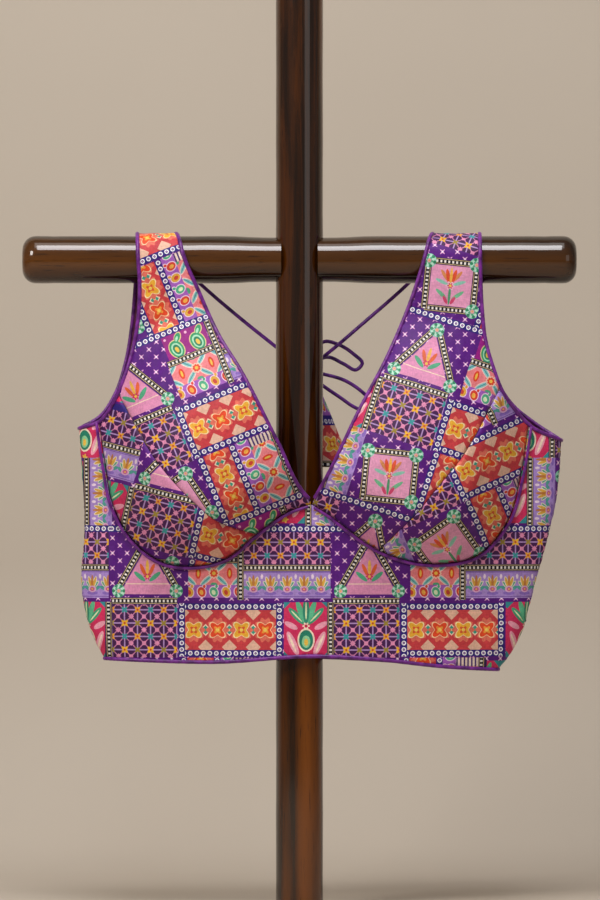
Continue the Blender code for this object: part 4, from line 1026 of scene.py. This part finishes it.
BINDING = 0.0018             # the satin stands a little proud of the frame's trim
PIPING = 0.0014
binding_satin = satin("purple_satin_binding", "4A0860", "84289C", 2.2)
EDGES = {"left": (NECK_LEFT, ARMHOLE_LEFT, UNDERBUST_LEFT, CUP_SEAM_LEFT, BACK_NECK_LEFT,
                  BACK_ARMHOLE_LEFT),
         "right": (NECK_RIGHT, ARMHOLE_RIGHT, UNDERBUST_RIGHT, CUP_SEAM_RIGHT, BACK_NECK_RIGHT,
                   BACK_ARMHOLE_RIGHT)}
hem_in = hem_line(HEM, TRIM_RADIUS)
band_tops = []
for side, inwards in (("left", 1), ("right", -1)):
    neck, armhole, underbust, seam, back_neck, back_armhole = [smooth(edge) for edge in EDGES[side]]
    neck_in, back_neck_in = shifted(neck, inwards * TRIM_RADIUS), shifted(back_neck, inwards * TRIM_RADIUS)
    armhole_in = to_side(shifted(armhole, -inwards * TRIM_RADIUS), side)
    back_armhole_in = to_side(shifted(back_armhole, -inwards * TRIM_RADIUS), side)
    cup_base = shifted(underbust, -inwards * SEAM)
    seam_above, seam_below = shifted(seam, -inwards * SEAM / 2), shifted(seam, inwards * SEAM / 2)
    arm = f"cross_arm_{side}"

    armhole_part = up_to(armhole_in, seam_above)
    seam_part = up_to(after(seam_above, armhole_in), cup_base)
    base_part = up_to(after(cup_base, seam_above), neck_in, short=0.0005)
    neck_part = up_to(neck_in, cup_base, short=0.0005)
    outline = np.vstack([armhole_part, seam_part, base_part, neck_part[::-1]])
    cut_panel(f"cup_upper_{side}", CUP_FRONT, outline, [neck_part],
              CUP_CREASES)

    base_part = up_to(after(cup_base, armhole_in), seam_below, short=0.0010)
    seam_part = up_to(after(seam_below, armhole_in), cup_base, short=0.0010)
    armhole_part = after(up_to(armhole_in, cup_base), seam_below)
    outline = np.vstack([base_part, seam_part[::-1], armhole_part])
    cut_panel(f"cup_lower_{side}", CUP_FRONT, outline, [],
              CUP_CREASES)

    hem = hem_line(BACK_HEM, TRIM_RADIUS)
    share = np.interp(CENTRE_BACK - inwards * SEAM / 2, hem[:, 0], distances(hem)) / distances(hem)[-1]
    hem = between(hem, 0, share)[::-1] if side == "left" else between(hem, share, 1)
    inner_x = CENTRE_BACK - inwards * SEAM / 2
    down_side = side_line(side, back_armhole_in[-1][1], hem[-1][1])
    neck_back = back_neck_in[inwards * back_neck_in[:, 0] < inwards * inner_x]
    outline = np.vstack([back_armhole_in, down_side, hem[::-1],
                         [(inner_x, neck_back[-1][1])], neck_back[::-1]])
    cut_panel(f"back_{side}", BACK, outline, [neck_back],
              BACK_CREASES)
    band_top = shifted(underbust, inwards * SEAM / 2)
    band_tops.append((after(armhole_in, band_top), after(band_top, armhole_in)))

    # Bindings: bias strips of purple satin rolled over the raw edges and felled down inside.
    fine = np.linspace(0, 1, 120)
    ring = placed(CUP_FRONT, at(armhole_in, fine)[::-1]) + placed(BACK, at(back_armhole_in, fine))[1:-1]
    arm_trim = rolled(f"armhole_binding_{side}_satin", ring, BINDING, binding_satin, closed=True, pucker=0.05)
    front_neck = at(between(neck_in, 0, 0.988), fine)[::-1]
    rear_neck = back_neck_in[inwards * back_neck_in[:, 0] < inwards * CENTRE_BACK - 2 * SEAM]
    ring = placed(CUP_FRONT, front_neck) + placed(BACK, at(rear_neck, fine))[1:]
    neck_trim = rolled(f"neck_binding_{side}_satin", ring, BINDING, binding_satin, pucker=0.05)
    route = after(shifted(underbust, inwards * PIPING_SHIFT), armhole_in, short=TRIM_RADIUS)
    route = at(route, np.linspace(0, 0.985, 130))
    piping = rolled(f"underbust_piping_{side}_satin",
                    placed(FLAT_FRONT, route, CLOTH / 2 + PIPING_RADIUS + PIPING_LIFT), PIPING,
                    binding_satin, pucker=0.06)
    for trim, cad_node in ((arm_trim, f"armhole_binding_{side}"), (neck_trim, f"neck_binding_{side}"),
                           (piping, f"underbust_piping_{side}")):
        put(trim, "satin_piping", cad_node)

(arm_left_part, top_left), (arm_right_part, top_right) = band_tops
right_side = side_line("right", hem_in[-1][1], arm_right_part[-1][1])
left_side = side_line("left", arm_left_part[-1][1], hem_in[0][1])
outline = np.vstack([hem_in, right_side, arm_right_part[::-1], top_right, top_left[::-1], arm_left_part,
                     left_side])
cut_panel("front_band", FLAT_FRONT, outline, [], BAND_CREASES)
closer_at_sides = (1 - np.cos(np.linspace(0, math.pi, 160))) / 2
ring = (placed(FLAT_FRONT, at(hem_in, closer_at_sides))
        + placed(BACK, at(hem_line(BACK_HEM, TRIM_RADIUS), 1 - closer_at_sides))[1:-1])
hem_trim = rolled("hem_binding_satin", ring, BINDING, binding_satin, closed=True, pucker=0.04)
put(hem_trim, "satin_piping", "hem_binding")


# ---------------------------------------------------------------- latkan
# A small flattened cone of the same printed cloth, gathered in flutes at its rim, sewn to the dori's tails.
LATKAN_X, LATKAN_Y, LATKAN_TOP = 0.0105, 0.0350, 0.4725
LATKAN_WALL = 0.0012
LATKAN_FLUTE = 0.035
LATKAN_RINGS = np.array([(LATKAN_TOP, 0.0050, 0.0048), (0.4640, 0.0095, 0.0060), (0.4480, 0.0165, 0.0075),
                         (0.4300, 0.0235, 0.0088), (0.4120, 0.0305, 0.0098), (0.3965, 0.0355, 0.0104)])
LATKAN_SIDES = 96
LATKAN_ROUND = 145           # mm of print round the rim
LATKAN_MIDDLE = 0.4375
# Each band of print: its kind, the height it starts at, and how far its middle is over the latkan's, in mm.
LATKAN_BANDS = (("ladder", 0.4660, 31), ("paisley", 0.4420, 15), ("ribbon", 0.4340, 0.5),
                ("blossom", 0.4020, -20), ("ladder", 0.0, -38.5))
profile = smooth(LATKAN_RINGS, 8)
spots, faces, uvs, kinds = [], [], [], []
for height, wide, deep in profile:
    for k in range(LATKAN_SIDES):
        angle = 2 * math.pi * k / LATKAN_SIDES
        flute = 1 + LATKAN_FLUTE * (math.cos(6 * angle) - 0.4) * (LATKAN_TOP - height) / 0.08
        spots.append((LATKAN_X + wide * flute * math.cos(angle),
                      LATKAN_Y + deep * flute * math.sin(angle), height))
for r in range(len(profile) - 1):
    kind, _, middle = next(band for band in LATKAN_BANDS if profile[r + 1][0] > band[1])
    for k in range(LATKAN_SIDES):
        a, b = r * LATKAN_SIDES + k, r * LATKAN_SIDES + (k + 1) % LATKAN_SIDES
        faces.append((b, b + LATKAN_SIDES, a + LATKAN_SIDES, a))
        uvs += [((turn / LATKAN_SIDES - 0.5) * LATKAN_ROUND,
                 (profile[row][0] - LATKAN_MIDDLE) * 1000 - middle)
                for turn, row in ((k + 1, r), (k + 1, r + 1), (k, r + 1), (k, r))]
        kinds.append(KINDS.index(kind))
faces.append(tuple(range(LATKAN_SIDES))[::-1])
uvs += [(0, -1)] * LATKAN_SIDES
kinds.append(KINDS.index("ladder"))
latkan = new_piece("latkan_print", spots, faces, print_materials + [lining], uvs, kinds)
tidy = bmesh.new()
tidy.from_mesh(latkan.data)
bmesh.ops.recalc_face_normals(tidy, faces=tidy.faces)
tidy.to_mesh(latkan.data)
tidy.free()
wall = latkan.modifiers.new("lining", "SOLIDIFY")
wall.thickness = LATKAN_WALL
wall.offset = -1
wall.material_offset = len(KINDS)
put(latkan, "printed_cloth", "latkan")


# ---------------------------------------------------------------- studio
# One sweep of matt paper, pale floor curving up into a warm grey wall, with soft boxes above and at the left.
SWEEP_BACK = 0.75
SWEEP_CURVE = 0.30
paper, paper_shader = new_material("matt_studio_paper")
paper_place = node(paper, "ShaderNodeTexCoord").outputs["Object"]
mottle = node(paper, "ShaderNodeTexNoise", {"Vector": paper_place, "Scale": 2.0, "Detail": 3.0})
paper_tint = node(paper, "ShaderNodeMix", {0: mottle.outputs["Fac"], 6: linear("BDB1A2"),
                                           7: linear("C6BBAC")}, data_type="RGBA")
plug(paper, paper_shader, {"Base Color": paper_tint.outputs[2], "Roughness": 0.9})
behind = node(paper, "ShaderNodeNewGeometry").outputs["Backfacing"]
clear = node(paper, "ShaderNodeBsdfTransparent").outputs[0]
one_sided = node(paper, "ShaderNodeMixShader", {0: behind, 1: paper_shader.outputs[0], 2: clear})
plug(paper, paper.node_tree.nodes["Material Output"], {"Surface": one_sided.outputs[0]})
sweep_line = [(-5.0, 0.0), (-1.0, 0.0)] + [
    (SWEEP_BACK - SWEEP_CURVE + SWEEP_CURVE * math.sin(a), SWEEP_CURVE * (1 - math.cos(a)))
    for a in np.linspace(0, math.pi / 2, 24)] + [(SWEEP_BACK, 4.5)]
sweep_points = [(x, y, z - 0.001) for y, z in sweep_line for x in (-5.0, 5.0)]
sweep = new_piece("studio_sweep", sweep_points,
                  [(2 * k, 2 * k + 1, 2 * k + 3, 2 * k + 2) for k in range(len(sweep_line) - 1)], [paper])
floor = new_piece("studio_floor", [(-8, -8, -0.004), (8, -8, -0.004), (8, 8, -0.004), (-8, 8, -0.004)],
                  [(0, 1, 2, 3)], [paper])
for name, place, aim, size, power, colour in (
        ("top_light", (0.0, -1.05, 2.35), (0, 0, 0.5), 0.9, 26, "FDFCFF"),
        ("key_light", (-1.6, -1.9, 1.9), (0, 0, 0.4), 0.9, 35, "FFFBF5"),
        ("fill_light", (1.9, -2.4, 0.9), (0, 0, 0.4), 1.4, 4.5, "FFFDFA"),
        ("wall_light", (0.0, -0.6, 2.7), (0, 0.75, 0.2), 1.2, 9, "FFFDFA")):
    lamp = bpy.data.objects.new(name, bpy.data.lights.new(name, "AREA"))
    scene.collection.objects.link(lamp)
    lamp.data.size = size
    lamp.data.energy = power
    lamp.data.color = linear(colour)[:3]
    lamp.location = place
    lamp.rotation_euler = (Vector(aim) - Vector(place)).to_track_quat("-Z", "Y").to_euler()
world = bpy.data.worlds.new("studio_air")
world.use_nodes = True
world.node_tree.nodes["Background"].inputs[0].default_value = linear("F6F5F4")
world.node_tree.nodes["Background"].inputs[1].default_value = 0.19
scene.world = world
